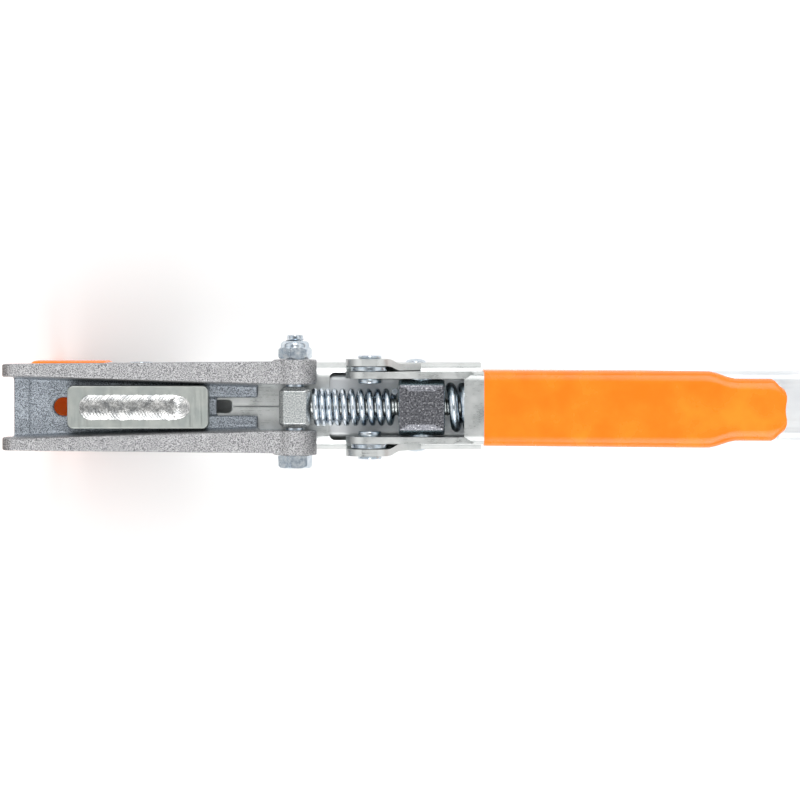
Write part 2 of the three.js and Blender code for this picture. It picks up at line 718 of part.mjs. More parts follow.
function headHalfAt(x) {
  const share = (x - HEAD_LEFT) / (ARM_RIGHT - HEAD_LEFT);
  return headHalfLeft + (headHalfRight - headHalfLeft) * share;
}

function castHead() {
  // Two arms and the floor between them, cut from a tapered block
  const right = BOLT_X;
  const armTopLeft = headBottom + ARM_HEIGHT_LEFT;
  const armTopRight = headBottom + ARM_HEIGHT_RIGHT;
  const side = new THREE.Shape()
    .moveTo(HEAD_LEFT + 2, headBottom)
    .lineTo(right, headBottom)
    .lineTo(right, rodZ + 4)
    .lineTo(ARM_RIGHT, armTopRight)
    .lineTo(HEAD_LEFT + 5, armTopLeft)
    .absarc(HEAD_LEFT + 5, armTopLeft - 5, 5, Math.PI / 2, Math.PI)
    .lineTo(HEAD_LEFT, headBottom + 2);
  const plan = polygon([
    [HEAD_LEFT, -headHalfLeft],
    [right, -headHalfAt(right)],
    [right, headHalfAt(right)],
    [HEAD_LEFT, headHalfLeft],
  ]);
  let made = prism(side, "y", -2 * sleeveOut, 2 * sleeveOut, 6).intersect(
    prism(plan, "z", headBottom - 1, armTopRight + 10),
  );
  const inLeft = headHalfLeft - ARM_WIDTH_LEFT;
  const inRight = headHalfAt(ARM_RIGHT) - ARM_WIDTH_RIGHT;
  const between = [
    [HEAD_LEFT - 1, -inLeft],
    [ARM_RIGHT, -inRight],
    [right + 20, -inRight],
    [right + 20, inRight],
    [ARM_RIGHT, inRight],
    [HEAD_LEFT - 1, inLeft],
  ];
  made = made.subtract(prism(polygon(between), "z", floorTop, armTopRight + 10));
  const low = headBottom - 1;
  made = made.subtract(box(HEAD_LEFT - 1, HEAD_FLOOR_LEFT, -inLeft, inLeft, low, floorTop + 1));
  made = made.subtract(
    box(HEAD_FLOOR_RIGHT, right + 20, -inRight, inRight, low, floorTop + 1),
  );

  // Milled boss, and lugs for the rod's bolt
  const bossLeft = BAR_LEFT - GAP - BOSS_WALL + 1;
  const bossRight = barRight + GAP + BOSS_WALL + 1;
  const bossHalf = BAR_THICKNESS / 2 + BOSS_SIDE_WALL;
  const boss = rounded(bossLeft, bossRight, -bossHalf, bossHalf, BOSS_CORNER);
  made = made.add(prism(boss, "z", headBottom, bossTop, 4));
  for (const from of [-lugOut, lugIn]) {
    made = made.add(acrossY(LUG_RADIUS, BOLT_X, rodZ, from, from + LUG_LENGTH, 28));
  }

  // Slot, hole, pocket for the bar, gap between the lugs, and the bolt's hole
  const slotHalf = HEAD_SLOT / 2;
  made = made.subtract(box(bossRight, HEAD_FLOOR_RIGHT + 1, -slotHalf, slotHalf, low, floorTop + 1));
  const holeRight = HEAD_HOLE_LEFT + HEAD_HOLE_LENGTH;
  const oval = rounded(HEAD_HOLE_LEFT, holeRight, -HEAD_HOLE / 2, HEAD_HOLE / 2, HEAD_HOLE / 2);
  made = made.subtract(prism(oval, "z", low, bossTop + 1, 6));
  const pocketHalf = BAR_THICKNESS / 2 + GAP;
  const pocket = rounded(BAR_LEFT - GAP, barRight + GAP, -pocketHalf, pocketHalf, 1);
  made = made.subtract(prism(pocket, "z", low, bossTop + 1, 3));
  made = made.subtract(
    box(BOLT_X - 14, BOLT_X + 20, -lugIn, lugIn, headBottom - 5, rodZ + LUG_RADIUS + 5),
  );
  return made.subtract(acrossY(rodRadius + RUN, BOLT_X, rodZ, -lugOut - 1, lugOut + 1));
}

// The bar's top stops below the boss's face, and the weld fills the pocket over it.
function jawBar() {
  const bar = box(
    BAR_LEFT, barRight, -BAR_THICKNESS / 2, BAR_THICKNESS / 2, -BAR_DEPTH, barTop,
  );
  const corner = polygon([
    [barRight + 1, -BAR_DEPTH - 1],
    [barRight - 22, -BAR_DEPTH - 1],
    [barRight + 1, -BAR_DEPTH + 26],
  ]);
  return bar
    .subtract(prism(corner, "y", -BAR_THICKNESS, BAR_THICKNESS))
    .subtract(acrossY(JAW_PIN_RADIUS + RUN, barMid, tubeMid, -BAR_THICKNESS, BAR_THICKNESS));
}

// A crowned bead with ripples across it.
function weldBead() {
  const half = BAR_THICKNESS / 2 - 0.1;
  const stations = [];
  const steps = 4 * WELD_RIPPLES;
  for (let i = 0; i <= steps; i++) {
    const share = i / steps;
    const x = BAR_LEFT + 0.2 + (BAR_WIDTH - 0.4) * share;
    const end = Math.min(share, 1 - share) * BAR_WIDTH;
    const wide = end < half ? Math.sqrt(half * half - (half - end) ** 2) * 0.75 + half * 0.25 : half;
    const ripple = 0.25 * Math.cos(2 * Math.PI * WELD_RIPPLES * share);
    const crown = (WELD_CROWN + ripple) * Math.min(1, 0.4 + end / half);
    const outline = [[wide, barTop + GAP], [wide, bossTop - 0.4]];
    for (let j = 1; j < 6; j++) {
      const angle = (Math.PI * j) / 6;
      outline.push([wide * Math.cos(angle), bossTop - 0.4 + crown * Math.sin(angle)]);
    }
    outline.push([-wide, bossTop - 0.4], [-wide, barTop + GAP]);
    stations.push({ x, outline });
  }
  return loft(stations);
}

// A plate across the bar's lower end, its gripping face cut with teeth.
function jawPad() {
  const right = BAR_LEFT - GAP;
  const left = right - PAD_THICKNESS;
  const low = -BAR_DEPTH;
  const pitch = PAD_HEIGHT / PAD_TEETH;
  const points = [[right, low], [right, low + PAD_HEIGHT]];
  for (let i = PAD_TEETH; i > 0; i--) {
    points.push([left + PAD_TOOTH, low + i * pitch]);
    points.push([left, low + (i - 0.5) * pitch]);
  }
  points.push([left + PAD_TOOTH, low]);
  return prism(polygon(points), "y", -PAD_WIDTH / 2, PAD_WIDTH / 2);
}

function jawPin() {
  return rod(JAW_PIN_RADIUS, -sleeveOut - JAW_PIN_PROUD, sleeveOut + JAW_PIN_PROUD);
}

function jawSpacer() {
  return ring(JAW_PIN_RADIUS + RUN, SPACER_RADIUS, BAR_THICKNESS / 2 + GAP, sleeveIn - GAP);
}

// ---- assembly --------------------------------------------------------------------------------

const clamp = new THREE.Group();
const atPivot = [0, 0, pivotZ];
const mirrored = (made) => made.mirror([0, 1, 0]);

const frame = new THREE.Group();
frame.add(
  piece("square_tube", squareTube(), aluminium()),
  piece("tube_end_plug", tubeEndPlug(), blackPlastic()),
  piece("sleeve_frame", sleeveFrame(), brightZinc()),
  piece("fixed_jaw_coating", fixedJawCoating(), orangeVinyl()),
  piece("jaw_pin", jawPin(), brightZinc(), [barMid, 0, tubeMid]),
);
for (const [name, turn] of [["left", (made) => made], ["right", mirrored]]) {
  const rivetAt = [SLEEVE_RIVET_X, turn === mirrored ? -sleeveOut : sleeveOut, tubeMid];
  frame.add(
    piece(`sleeve_rivet_${name}`, turn(sleeveRivet()), brightZinc(), rivetAt),
    piece(`pivot_rivet_${name}`, turn(pivotRivet()), blueZinc(), atPivot),
    piece(`pivot_washer_${name}`, turn(pivotWasher()), brightZinc(), atPivot),
    piece(`jaw_spacer_${name}`, turn(jawSpacer()), darkSteel(), [barMid, 0, tubeMid]),
  );
}

const jaw = new THREE.Group();
jaw.add(
  piece("cast_head", castHead(), castZinc()),
  piece("jaw_bar", jawBar(), darkSteel()),
  piece("weld_bead", weldBead(), brightZinc()),
  piece("jaw_pad", jawPad(), darkSteel()),
  piece("rod_bolt", rodBolt(), blueZinc(), [BOLT_X, 0, rodZ]),
  piece("bolt_nut", lockNut(), blueZinc(), [BOLT_X, lugOut + GAP, rodZ]),
  piece("bolt_nut_ring", nylonRing(), nylon(), [BOLT_X, lugOut + GAP, rodZ]),
);

const lever = new THREE.Group();
lever.position.set(...atPivot);
lever.add(
  piece("lever_channel", leverChannel(), brightZinc()),
  piece("lever_grip", leverGrip(), orangeVinyl()),
);

const block = new THREE.Group();
block.position.set(BLOCK_X, 0, rodZ);
block.add(piece("trunnion_block", trunnionBlock(), darkSteel()));
for (const [name, turn] of [["left", (made) => made], ["right", mirrored]]) {
  const pin = rod(TRUNNION_RADIUS, trunnionInner, trunnionOuter);
  block.add(piece(`trunnion_pin_${name}`, turn(pin), blueZinc()));
}

const rodGroup = new THREE.Group();
rodGroup.position.set(BOLT_X, 0, rodZ);
const returnFrom = EYE_LENGTH / 2 + GAP;
const returnTo = BLOCK_X - BLOCK_LENGTH / 2 - GAP - BOLT_X;
const heavyFrom = heavyLeft - BOLT_X;
rodGroup.add(
  piece("eye_rod", eyeRod(), brightZinc()),
  piece("return_spring", coil(RETURN_SPRING, returnFrom, returnTo), blueZinc()),
  piece("heavy_spring", coil(HEAVY_SPRING, heavyFrom, heavyFrom + HEAVY_LENGTH), blueZinc()),
);
const seat = ring(rodRadius + RUN, SEAT_RADIUS, 0, SEAT_THICKNESS);
const adjusting = new THREE.Group();
adjusting.position.x = nutX - BOLT_X;
adjusting.rotation.z = -Math.PI / 2;
adjusting.add(
  piece("adjusting_nut", lockNut(), blueZinc()),
  piece("adjusting_nut_ring", nylonRing(), nylon()),
  piece("spring_seat", seat, brightZinc(), [0, -GAP - SEAT_THICKNESS, 0]),
);
rodGroup.add(adjusting);

clamp.add(frame, jaw, lever, block, rodGroup);

export default clamp;
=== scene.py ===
# Lever-operated over-centre clamp head on a square tube. Metres, +Z up: X runs along the tube and Y
# across it, and the origin is on the sleeve's underside, straight below the lever's pivot.
import math
import random

import bmesh
import bpy
from mathutils import Matrix, Vector


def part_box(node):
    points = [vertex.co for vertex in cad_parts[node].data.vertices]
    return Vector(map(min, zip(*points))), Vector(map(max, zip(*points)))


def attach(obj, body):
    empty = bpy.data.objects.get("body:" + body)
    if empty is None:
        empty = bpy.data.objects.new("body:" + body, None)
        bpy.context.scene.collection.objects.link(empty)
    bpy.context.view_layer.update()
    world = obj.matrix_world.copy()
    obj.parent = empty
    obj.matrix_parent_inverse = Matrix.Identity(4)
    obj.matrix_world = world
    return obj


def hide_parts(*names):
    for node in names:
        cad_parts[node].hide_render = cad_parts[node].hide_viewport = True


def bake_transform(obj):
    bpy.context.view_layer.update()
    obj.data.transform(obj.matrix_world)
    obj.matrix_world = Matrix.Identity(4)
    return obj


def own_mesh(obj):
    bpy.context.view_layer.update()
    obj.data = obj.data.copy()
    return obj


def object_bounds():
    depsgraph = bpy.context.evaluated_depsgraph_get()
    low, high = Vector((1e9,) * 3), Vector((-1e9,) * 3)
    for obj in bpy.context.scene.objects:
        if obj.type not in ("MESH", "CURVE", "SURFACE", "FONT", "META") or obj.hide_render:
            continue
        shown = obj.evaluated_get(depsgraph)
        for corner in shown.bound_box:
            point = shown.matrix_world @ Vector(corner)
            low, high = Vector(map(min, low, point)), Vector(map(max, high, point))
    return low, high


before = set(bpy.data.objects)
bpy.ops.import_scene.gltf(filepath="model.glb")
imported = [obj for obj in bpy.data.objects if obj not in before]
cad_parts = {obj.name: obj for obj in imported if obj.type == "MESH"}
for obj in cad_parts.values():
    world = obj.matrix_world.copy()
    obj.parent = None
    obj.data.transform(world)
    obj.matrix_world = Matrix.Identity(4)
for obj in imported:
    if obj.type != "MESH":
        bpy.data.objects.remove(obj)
cad_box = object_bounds()


# ---- Square tube ---------------------------------------------------------------------------------
# A 30 mm square aluminium tube with 2.5 mm walls. It was pressed through a die, so it has soft
# corners and fine lines along its length. It runs on into the sleeve, where two rivets hold it.

MM = 0.001
TUBE_WALL = 2.5 * MM
TUBE_CORNER = 3.7 * MM


def alone(piece):
    """Leaves a piece as the only one selected, and active."""
    for other in list(bpy.context.selected_objects):
        other.select_set(False)
    piece.select_set(True)
    bpy.context.view_layer.objects.active = piece


def settle(name):
    """Names the primitive just added and puts its place into its mesh."""
    made = bpy.context.active_object
    alone(made)
    bpy.ops.object.transform_apply(location=True, rotation=True, scale=True)
    made.name = made.data.name = name
    return made


def bar(name, low, high):
    """A square-cornered bar between two corners."""
    low, high = Vector(low), Vector(high)
    bpy.ops.mesh.primitive_cube_add(size=1, location=(low + high) / 2, scale=high - low)
    return settle(name)


def choose(piece, kind, test):
    """Opens a piece for editing with the VERT, EDGE or FACE parts selected that pass a test.
    The test gets each part's middle, and an edge's direction or a face's normal."""
    alone(piece)
    bpy.ops.object.mode_set(mode="EDIT")
    bpy.ops.mesh.select_mode(type=kind)
    bpy.ops.mesh.select_all(action="DESELECT")
    shape = bmesh.from_edit_mesh(piece.data)
    shape.normal_update()
    if kind == "VERT":
        for vert in shape.verts:
            vert.select_set(bool(test(vert.co, vert.normal)))
    elif kind == "EDGE":
        for edge in shape.edges:
            a, b = edge.verts
            edge.select_set(bool(test((a.co + b.co) / 2, (b.co - a.co).normalized())))
    else:
        for face in shape.faces:
            face.select_set(bool(test(face.calc_center_median(), face.normal)))
    shape.select_flush_mode()
    bmesh.update_edit_mesh(piece.data)


def close():
    """Ends the editing that choose began."""
    bpy.ops.object.mode_set(mode="OBJECT")


def work(piece, kind, **settings):
    """Adds a modifier to a piece and applies it."""
    alone(piece)
    modifier = piece.modifiers.new(kind, kind)
    for name, value in settings.items():
        setattr(modifier, name, value)
    bpy.ops.object.modifier_apply(modifier=modifier.name)


def round_edges(piece, width, segments, test):
    """Rounds the edges that pass a test."""
    choose(piece, "EDGE", test)
    bpy.ops.mesh.bevel(offset=width, segments=segments, affect="EDGES")
    close()


def ease(piece, width, angle=40, segments=2):
    """Takes the sharpness off every edge that turns by more than an angle."""
    work(
        piece, "BEVEL", width=width, segments=segments, limit_method="ANGLE",
        angle_limit=math.radians(angle), harden_normals=False,
    )


def shade(piece, angle=35):
    """Shades a piece smooth, but for edges that turn by more than an angle."""
    alone(piece)
    bpy.ops.object.shade_smooth_by_angle(angle=math.radians(angle))
    work(piece, "WEIGHTED_NORMAL", keep_sharp=True)


def linear(colour):
    """An sRGB hex colour as the linear one that shaders read."""
    parts = [int(colour[i:i + 2], 16) / 255 for i in (1, 3, 5)]
    return [c / 12.92 if c <= 0.04045 else ((c + 0.055) / 1.055) ** 2.4 for c in parts] + [1]


def add_node(material, kind, inputs=(), stops=(), **settings):
    """Adds a node with its settings. An input takes a value, or another node's output."""
    tree = material.node_tree
    node = tree.nodes.new(kind)
    for name, value in settings.items():
        setattr(node, name, value)
    for name, value in dict(inputs).items():
        if isinstance(value, bpy.types.NodeSocket):
            tree.links.new(value, node.inputs[name])
        else:
            node.inputs[name].default_value = value
    for place, (at, colour) in enumerate(stops):
        ramp = node.color_ramp.elements
        stop = ramp[place] if place < 2 else ramp.new(at)
        stop.position, stop.color = at, linear(colour)
    return node


def start_finish(name):
    """A material with nothing in it but its object coordinates, which are returned with it."""
    material = bpy.data.materials.new(name)
    material.use_nodes = True
    material.node_tree.nodes.clear()
    return material, add_node(material, "ShaderNodeTexCoord").outputs["Object"]


def end_finish(material, colour, roughness, bump, height, metallic=1.0, **same_all_over):
    """The shader: its colour and roughness, and a relief of a height in metres."""
    relief = add_node(
        material, "ShaderNodeBump", {"Height": bump, "Distance": height, "Strength": 1.0},
    )
    shader = add_node(
        material, "ShaderNodeBsdfPrincipled",
        {
            "Base Color": colour, "Roughness": roughness, "Normal": relief.outputs["Normal"],
            "Metallic": metallic, **{k.replace("_", " "): v for k, v in same_all_over.items()},
        },
    )
    add_node(material, "ShaderNodeOutputMaterial", {"Surface": shader.outputs["BSDF"]})
    return material


def fit(piece, material, body, slot, *nodes):
    """Gives a finished piece its material and body, and hides the CAD nodes that it stands for; its slot
    is not used. A piece that is blended between two bodies rides on none."""
    piece.data.materials.clear()
    piece.data.materials.append(material)
    if body:
        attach(piece, body)
    if nodes:
        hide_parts(*nodes)


def drawn_aluminium():
    """Drawn aluminium: a pale satin with hair-fine die lines a third of a millimetre apart."""
    material, here = start_finish("drawn_aluminium")
    lines = add_node(
        material, "ShaderNodeMapping",
        {"Vector": here, "Scale": (1 / (60 * MM), 1 / (0.35 * MM), 1 / (0.35 * MM))},
    )
    die = add_node(
        material, "ShaderNodeTexNoise",
        {"Vector": lines.outputs["Vector"], "Scale": 1.0, "Detail": 4.0, "Roughness": 0.6},
    )
    cloud = add_node(
        material, "ShaderNodeTexNoise", {"Vector": here, "Scale": 1 / (18 * MM), "Detail": 3.0},
    )
    colour = add_node(
        material, "ShaderNodeValToRGB", {"Fac": cloud.outputs["Fac"]},
        [(0.35, "#DFE2E5"), (0.65, "#EDEFF0")],
    )
    roughness = add_node(
        material, "ShaderNodeMapRange",
        {"Value": die.outputs["Fac"], "From Min": 0.3, "From Max": 0.7, "To Min": 0.38, "To Max": 0.54},
    )
    return end_finish(
        material, colour.outputs["Color"], roughness.outputs["Result"], die.outputs["Fac"], 0.004 * MM,
    )


tube_low, tube_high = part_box("square_tube")
tube = bar("tube", tube_low, tube_high)
round_edges(tube, TUBE_CORNER, 8, lambda middle, along: abs(along.x) > 0.9)
choose(tube, "FACE", lambda middle, normal: abs(normal.x) > 0.9)
bpy.ops.mesh.delete(type="FACE")
close()
work(tube, "SOLIDIFY", thickness=TUBE_WALL, offset=-1)
ease(tube, 0.25 * MM, 60)
shade(tube)
fit(tube, drawn_aluminium(), "frame", "tube_metal", "square_tube")


# ---- Tube end plug -------------------------------------------------------------------------------
# A black polyethylene plug, moulded with a soft-edged head and a ribbed stem, and pushed into the
# tube's free end. Its skin has the fine grain of a spark-eroded mould.

PLUG_HEAD = 3.7 * MM
PLUG_EDGE = 1.2 * MM
PLUG_RIBS = 4
PLUG_RIB_WIDTH = 1.2 * MM
PLUG_RIB_PROUD = 1.03  # a rib's size, beside the stem's
PLUG_STEM_PLAY = 0.4 * MM
PLUG_STEM_WALL = 2 * MM


def moulded_polyethylene():
    """Moulded polyethylene: near black and half matt, with mould grain of a quarter millimetre."""
    material, here = start_finish("moulded_polyethylene")
    grain = add_node(
        material, "ShaderNodeTexNoise", {"Vector": here, "Scale": 1 / (0.25 * MM), "Detail": 2.0},
    )
    scuff = add_node(
        material, "ShaderNodeTexNoise", {"Vector": here, "Scale": 1 / (5 * MM), "Detail": 5.0},
    )
    colour = add_node(
        material, "ShaderNodeValToRGB", {"Fac": scuff.outputs["Fac"]},
        [(0.4, "#141415"), (0.7, "#232324")],
    )
    roughness = add_node(
        material, "ShaderNodeMapRange", {"Value": scuff.outputs["Fac"], "To Min": 0.38, "To Max": 0.6},
    )
    return end_finish(
        material, colour.outputs["Color"], roughness.outputs["Result"], grain.outputs["Fac"],
        0.012 * MM, metallic=0.0, IOR=1.51,
    )


plug_low, plug_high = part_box("tube_end_plug")
plug = bar("end_plug", (plug_high.x - PLUG_HEAD, plug_low.y, plug_low.z), plug_high)
round_edges(plug, TUBE_CORNER, 8, lambda middle, along: abs(along.x) > 0.9)
round_edges(plug, PLUG_EDGE, 4, lambda middle, along: middle.x > plug_high.x - 0.1 * MM)
choose(plug, "FACE", lambda middle, normal: normal.x < -0.9)
bpy.ops.mesh.inset(thickness=TUBE_WALL + PLUG_STEM_PLAY)
stem_reach = plug_high.x - PLUG_HEAD - plug_low.x
plain_stretch = stem_reach / PLUG_RIBS - PLUG_RIB_WIDTH
for _ in range(PLUG_RIBS):
    for stretch, wider in ((plain_stretch, PLUG_RIB_PROUD), (PLUG_RIB_WIDTH, 1 / PLUG_RIB_PROUD)):
        bpy.ops.mesh.extrude_region_move(TRANSFORM_OT_translate={"value": (-stretch, 0, 0)})
        bpy.ops.mesh.extrude_region_move(TRANSFORM_OT_translate={"value": (0, 0, 0)})
        bpy.ops.transform.resize(value=(1, wider, wider))
bpy.ops.mesh.inset(thickness=PLUG_STEM_WALL)
bpy.ops.mesh.extrude_region_move(TRANSFORM_OT_translate={"value": (stem_reach - 1 * MM, 0, 0)})
close()
shade(plug)
fit(plug, moulded_polyethylene(), "frame", "black_plastic", "tube_end_plug")


# ---- Sleeve with ears, cheeks and fixed jaw ------------------------------------------------------
# One blank of 3 mm steel sheet, folded round the tube until its lips nearly meet, and zinc plated.
# It has a window under the lever, two ears pressed outwards round the pivot, and a left end that
# is open above and turned down into the fixed jaw.

SHEET = 3 * MM
FIT = 0.8 * MM  # room round the tube
FOLD = 6 * MM
LIP_LEFT = -68.3 * MM
WINDOW_LEFT = -17.6 * MM
WINDOW_RIM = 4.1 * MM
WINDOW_CORNER = 2.2 * MM
SEAM = 0.7 * MM
SEAM_HOLE = 5.9 * MM
SEAM_HOLE_LENGTH = 9 * MM
CHEEK_BELOW = 1 * MM  # the cheeks' top, below the tube's
CHEEK_DROP = 9 * MM
CHEEK_FALL_START = -90 * MM
JAW_FLANGE = 6.1 * MM
JAW_DRAWN_IN = 0.95  # how wide the jaw's lower end is left by the press
FLOOR_SLOT = Vector((-127.2, -69.5, 8)) * MM  # from, to and half width
EAR_LEFT = -10.4 * MM
EAR_RIGHT = 22 * MM
EAR_STEP = 2 * MM
EAR_STEP_RIGHT = 13.4 * MM
EAR_STEP_RUN = 5.6 * MM
EAR_PLAY = 0.02 * MM  # keeps the ear's faces off the sleeve's while they are joined
PIVOT = Vector((0, 0, 49.3)) * MM

sleeve_low, sleeve_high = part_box("sleeve_frame")
sleeve_in = tube_high.y + FIT
sleeve_out = sleeve_in + SHEET
lip_top = tube_high.z + FIT + SHEET
cheek_top = tube_high.z - CHEEK_BELOW


def join_solid(piece, other, operation="UNION"):
    """Joins another solid to a piece, or cuts with it, and removes the other."""
    work(piece, "BOOLEAN", object=other, operation=operation, solver="EXACT")
    bpy.data.objects.remove(other)


def cut(piece, *cutters):
    """Cuts solids out of a piece, one after another."""
    for cutter in cutters:
        join_solid(piece, cutter, "DIFFERENCE")


def round_bar(name, radius, start, end, sides=64):
    """A round bar from one point to another."""
    start, end = Vector(start), Vector(end)
    along = end - start
    bpy.ops.mesh.primitive_cylinder_add(
        vertices=sides, radius=radius, depth=along.length, location=(start + end) / 2,
        rotation=along.to_track_quat("Z", "Y").to_euler(),
    )
    return settle(name)


def wrap(name, *pieces):
    """The tight skin round several solids."""
    alone(pieces[0])
    for piece in pieces[1:]:
        piece.select_set(True)
    bpy.ops.object.join()
    bpy.ops.object.mode_set(mode="EDIT")
    bpy.ops.mesh.select_all(action="SELECT")
    bpy.ops.mesh.convex_hull()
    close()
    pieces[0].name = name
    return pieces[0]


def lengthwise(middle, along):
    """Whether an edge runs along the tube."""
    return abs(along.x) > 0.9


def folded_ear(side):
    """One ear: a plate with a round top, pressed outwards round the pivot in small steps."""
    low = lip_top - FOLD
    plate = bar(
        "ear", (EAR_LEFT - MM, sleeve_in + EAR_PLAY, low),
        (EAR_RIGHT + MM, sleeve_out - EAR_PLAY, sleeve_high.z + MM),
    )
    steps = 8
    for step in range(steps + 1):
        share = step / steps
        for place, normal in (
            ((EAR_STEP_RIGHT - EAR_STEP_RUN * share, 0, 0), (1, 0, 0)),
            ((0, 0, low + 0.5 * MM + FOLD * share), (0, 0, 1)),
        ):
            choose(plate, "FACE", lambda middle, direction: True)
            bpy.ops.mesh.bisect(plane_co=place, plane_no=normal)
            close()
    for step in range(steps):
        share = (step + 0.5) / steps
        left_of = EAR_STEP_RIGHT - EAR_STEP_RUN * share
        above = low + 0.5 * MM + FOLD * share
        choose(plate, "VERT", lambda at, normal: at.x < left_of and at.z > above)
        ease_in = math.sin(math.pi * share) * math.pi / 2
        bpy.ops.transform.translate(value=(0, EAR_STEP * ease_in / steps, 0))
        close()
    outline = wrap(
        "ear_outline",
        round_bar("top", -EAR_LEFT, PIVOT, PIVOT + Vector((0, 40 * MM, 0)), 96),
        bar("foot", (EAR_LEFT, 0, low - MM), (EAR_RIGHT, 40 * MM, lip_top)),
    )
    join_solid(plate, outline, "INTERSECT")
    if side < 0:
        alone(plate)
        bpy.ops.transform.mirror(constraint_axis=(False, True, False))
        bpy.ops.object.transform_apply(location=True, rotation=True, scale=True)
        choose(plate, "FACE", lambda middle, normal: True)
        bpy.ops.mesh.normals_make_consistent(inside=False)
        close()
    return plate


def zinc_plated_sheet():
    """Bright zinc plate on rolled sheet: a pale, faintly green satin with rolling lines 0.3 mm
    apart, soft clouds a centimetre wide and a few rubbed scratches."""
    material, here = start_finish("zinc_plated_sheet")
    rolled = add_node(
        material, "ShaderNodeMapping",
        {"Vector": here, "Scale": (1 / (25 * MM), 1 / (0.3 * MM), 1 / (0.3 * MM))},
    )
    lines = add_node(
        material, "ShaderNodeTexNoise",
        {"Vector": rolled.outputs["Vector"], "Scale": 1.0, "Detail": 5.0, "Roughness": 0.65},
    )
    cloud = add_node(
        material, "ShaderNodeTexNoise",
        {"Vector": here, "Scale": 1 / (9 * MM), "Detail": 6.0, "Roughness": 0.6},
    )
    fine = add_node(
        material, "ShaderNodeTexNoise", {"Vector": here, "Scale": 1 / (0.6 * MM), "Detail": 3.0},
    )
    colour = add_node(
        material, "ShaderNodeValToRGB", {"Fac": cloud.outputs["Fac"]},
        [(0.32, "#C3C7C6"), (0.52, "#D0D3D2"), (0.7, "#DADCDB")],
    )
    both = add_node(
        material, "ShaderNodeMix", {"Factor": 0.45, "A": lines.outputs["Fac"], "B": cloud.outputs["Fac"]},
    )
    roughness = add_node(
        material, "ShaderNodeMapRange",
        {"Value": both.outputs["Result"], "From Min": 0.3, "From Max": 0.7, "To Min": 0.2, "To Max": 0.44},
    )
    relief = add_node(
        material, "ShaderNodeMix", {"Factor": 0.5, "A": lines.outputs["Fac"], "B": fine.outputs["Fac"]},
    )
    return end_finish(
        material, colour.outputs["Color"], roughness.outputs["Result"], relief.outputs["Result"],
        0.014 * MM,
    )


def frame_form(name, grow=0.0, right=LIP_LEFT + 2 * MM):
    """The left end as a solid form: cheeks and fixed jaw, each face moved outwards by grow."""
    out, left = sleeve_out + grow, sleeve_low.x - grow
    form = bar(name, (left, -out, -grow), (right, out, cheek_top + grow))
    choose(form, "FACE", lambda middle, normal: True)
    bpy.ops.mesh.bisect(plane_co=(CHEEK_FALL_START, 0, 0), plane_no=(1, 0, 0))
    close()
    choose(form, "VERT", lambda at, normal: at.x < left + MM and at.z > cheek_top - MM)
    bpy.ops.transform.translate(value=(0, 0, -CHEEK_DROP))
    close()
    round_edges(
        form, FOLD - 2 * MM, 6,
        lambda middle, along: abs(along.x) > 0.9 and middle.z < MM and middle.x > left,
    )
    jaw = bar(
        "jaw", (left, -out, sleeve_low.z - grow), (sleeve_low.x + JAW_FLANGE + grow, out, 8 * MM),
    )
    join_solid(form, jaw)
    return form


sleeve = bar("sleeve", (LIP_LEFT, -sleeve_out, 0), (sleeve_high.x, sleeve_out, lip_top))
round_edges(sleeve, FOLD, 8, lengthwise)
join_solid(sleeve, frame_form("left_end"))
inside = bar(
    "inside", (sleeve_low.x + SHEET, -sleeve_in, SHEET), (sleeve_high.x + MM, sleeve_in, lip_top - SHEET),
)
round_edges(inside, FOLD - SHEET, 6, lengthwise)
inside_left = sleeve_low.x + SHEET
open_top = bar("open_top", (inside_left, -sleeve_in, 20 * MM), (LIP_LEFT, sleeve_in, 60 * MM))
jaw_room = bar(
    "jaw_room", (inside_left, -sleeve_in, sleeve_low.z - MM),
    (sleeve_low.x + JAW_FLANGE + MM, sleeve_in, 0),
)
cut(sleeve, inside, open_top, jaw_room)
seam_left = LIP_LEFT + SEAM_HOLE_LENGTH
above, clear = tube_high.z - MM, lip_top + MM
seam = bar("seam", (LIP_LEFT - MM, -SEAM / 2, above), (WINDOW_LEFT + MM, SEAM / 2, clear))
seam_hole = wrap(
    "seam_hole",
    round_bar(
        "end", SEAM_HOLE / 2, (seam_left - SEAM_HOLE / 2, 0, above), (seam_left - SEAM_HOLE / 2, 0, clear),
    ),
    bar("mouth", (LIP_LEFT - MM, -SEAM_HOLE / 2, above), (LIP_LEFT, SEAM_HOLE / 2, clear)),
)
rim = sleeve_out - WINDOW_RIM
window = bar("window", (WINDOW_LEFT, -rim, above), (sleeve_high.x + 9 * MM, rim, clear))
round_edges(window, WINDOW_CORNER, 6, lambda middle, along: abs(along.z) > 0.9)
slot_from, slot_to, slot_half = FLOOR_SLOT
floor_slot = bar("floor_slot", (slot_from, -slot_half, -MM), (slot_to, slot_half, SHEET + MM))
round_edges(floor_slot, 2 * MM, 5, lambda middle, along: abs(along.z) > 0.9)
cut(sleeve, seam, seam_hole, window, floor_slot)
for vert in sleeve.data.vertices:
    vert.co.y *= 1 + (JAW_DRAWN_IN - 1) * max(0, vert.co.z / sleeve_low.z)
steel_end = sleeve.copy()
steel_end.data = sleeve.data.copy()
bpy.context.scene.collection.objects.link(steel_end)
for side in (1, -1):
    join_solid(sleeve, folded_ear(side))
ease(sleeve, 0.35 * MM, 50)
shade(sleeve)
sheet_zinc = zinc_plated_sheet()
fit(sleeve, sheet_zinc, "frame", "bright_zinc", "sleeve_frame")


# ---- Dipped coating on the fixed jaw -------------------------------------------------------------
# Orange vinyl, most of a millimetre thick. The jaw's end was heated and dipped in liquid vinyl, which
# gelled on the steel: every corner is rounded and the skin is glossy and slightly uneven.

COAT = 0.8 * MM


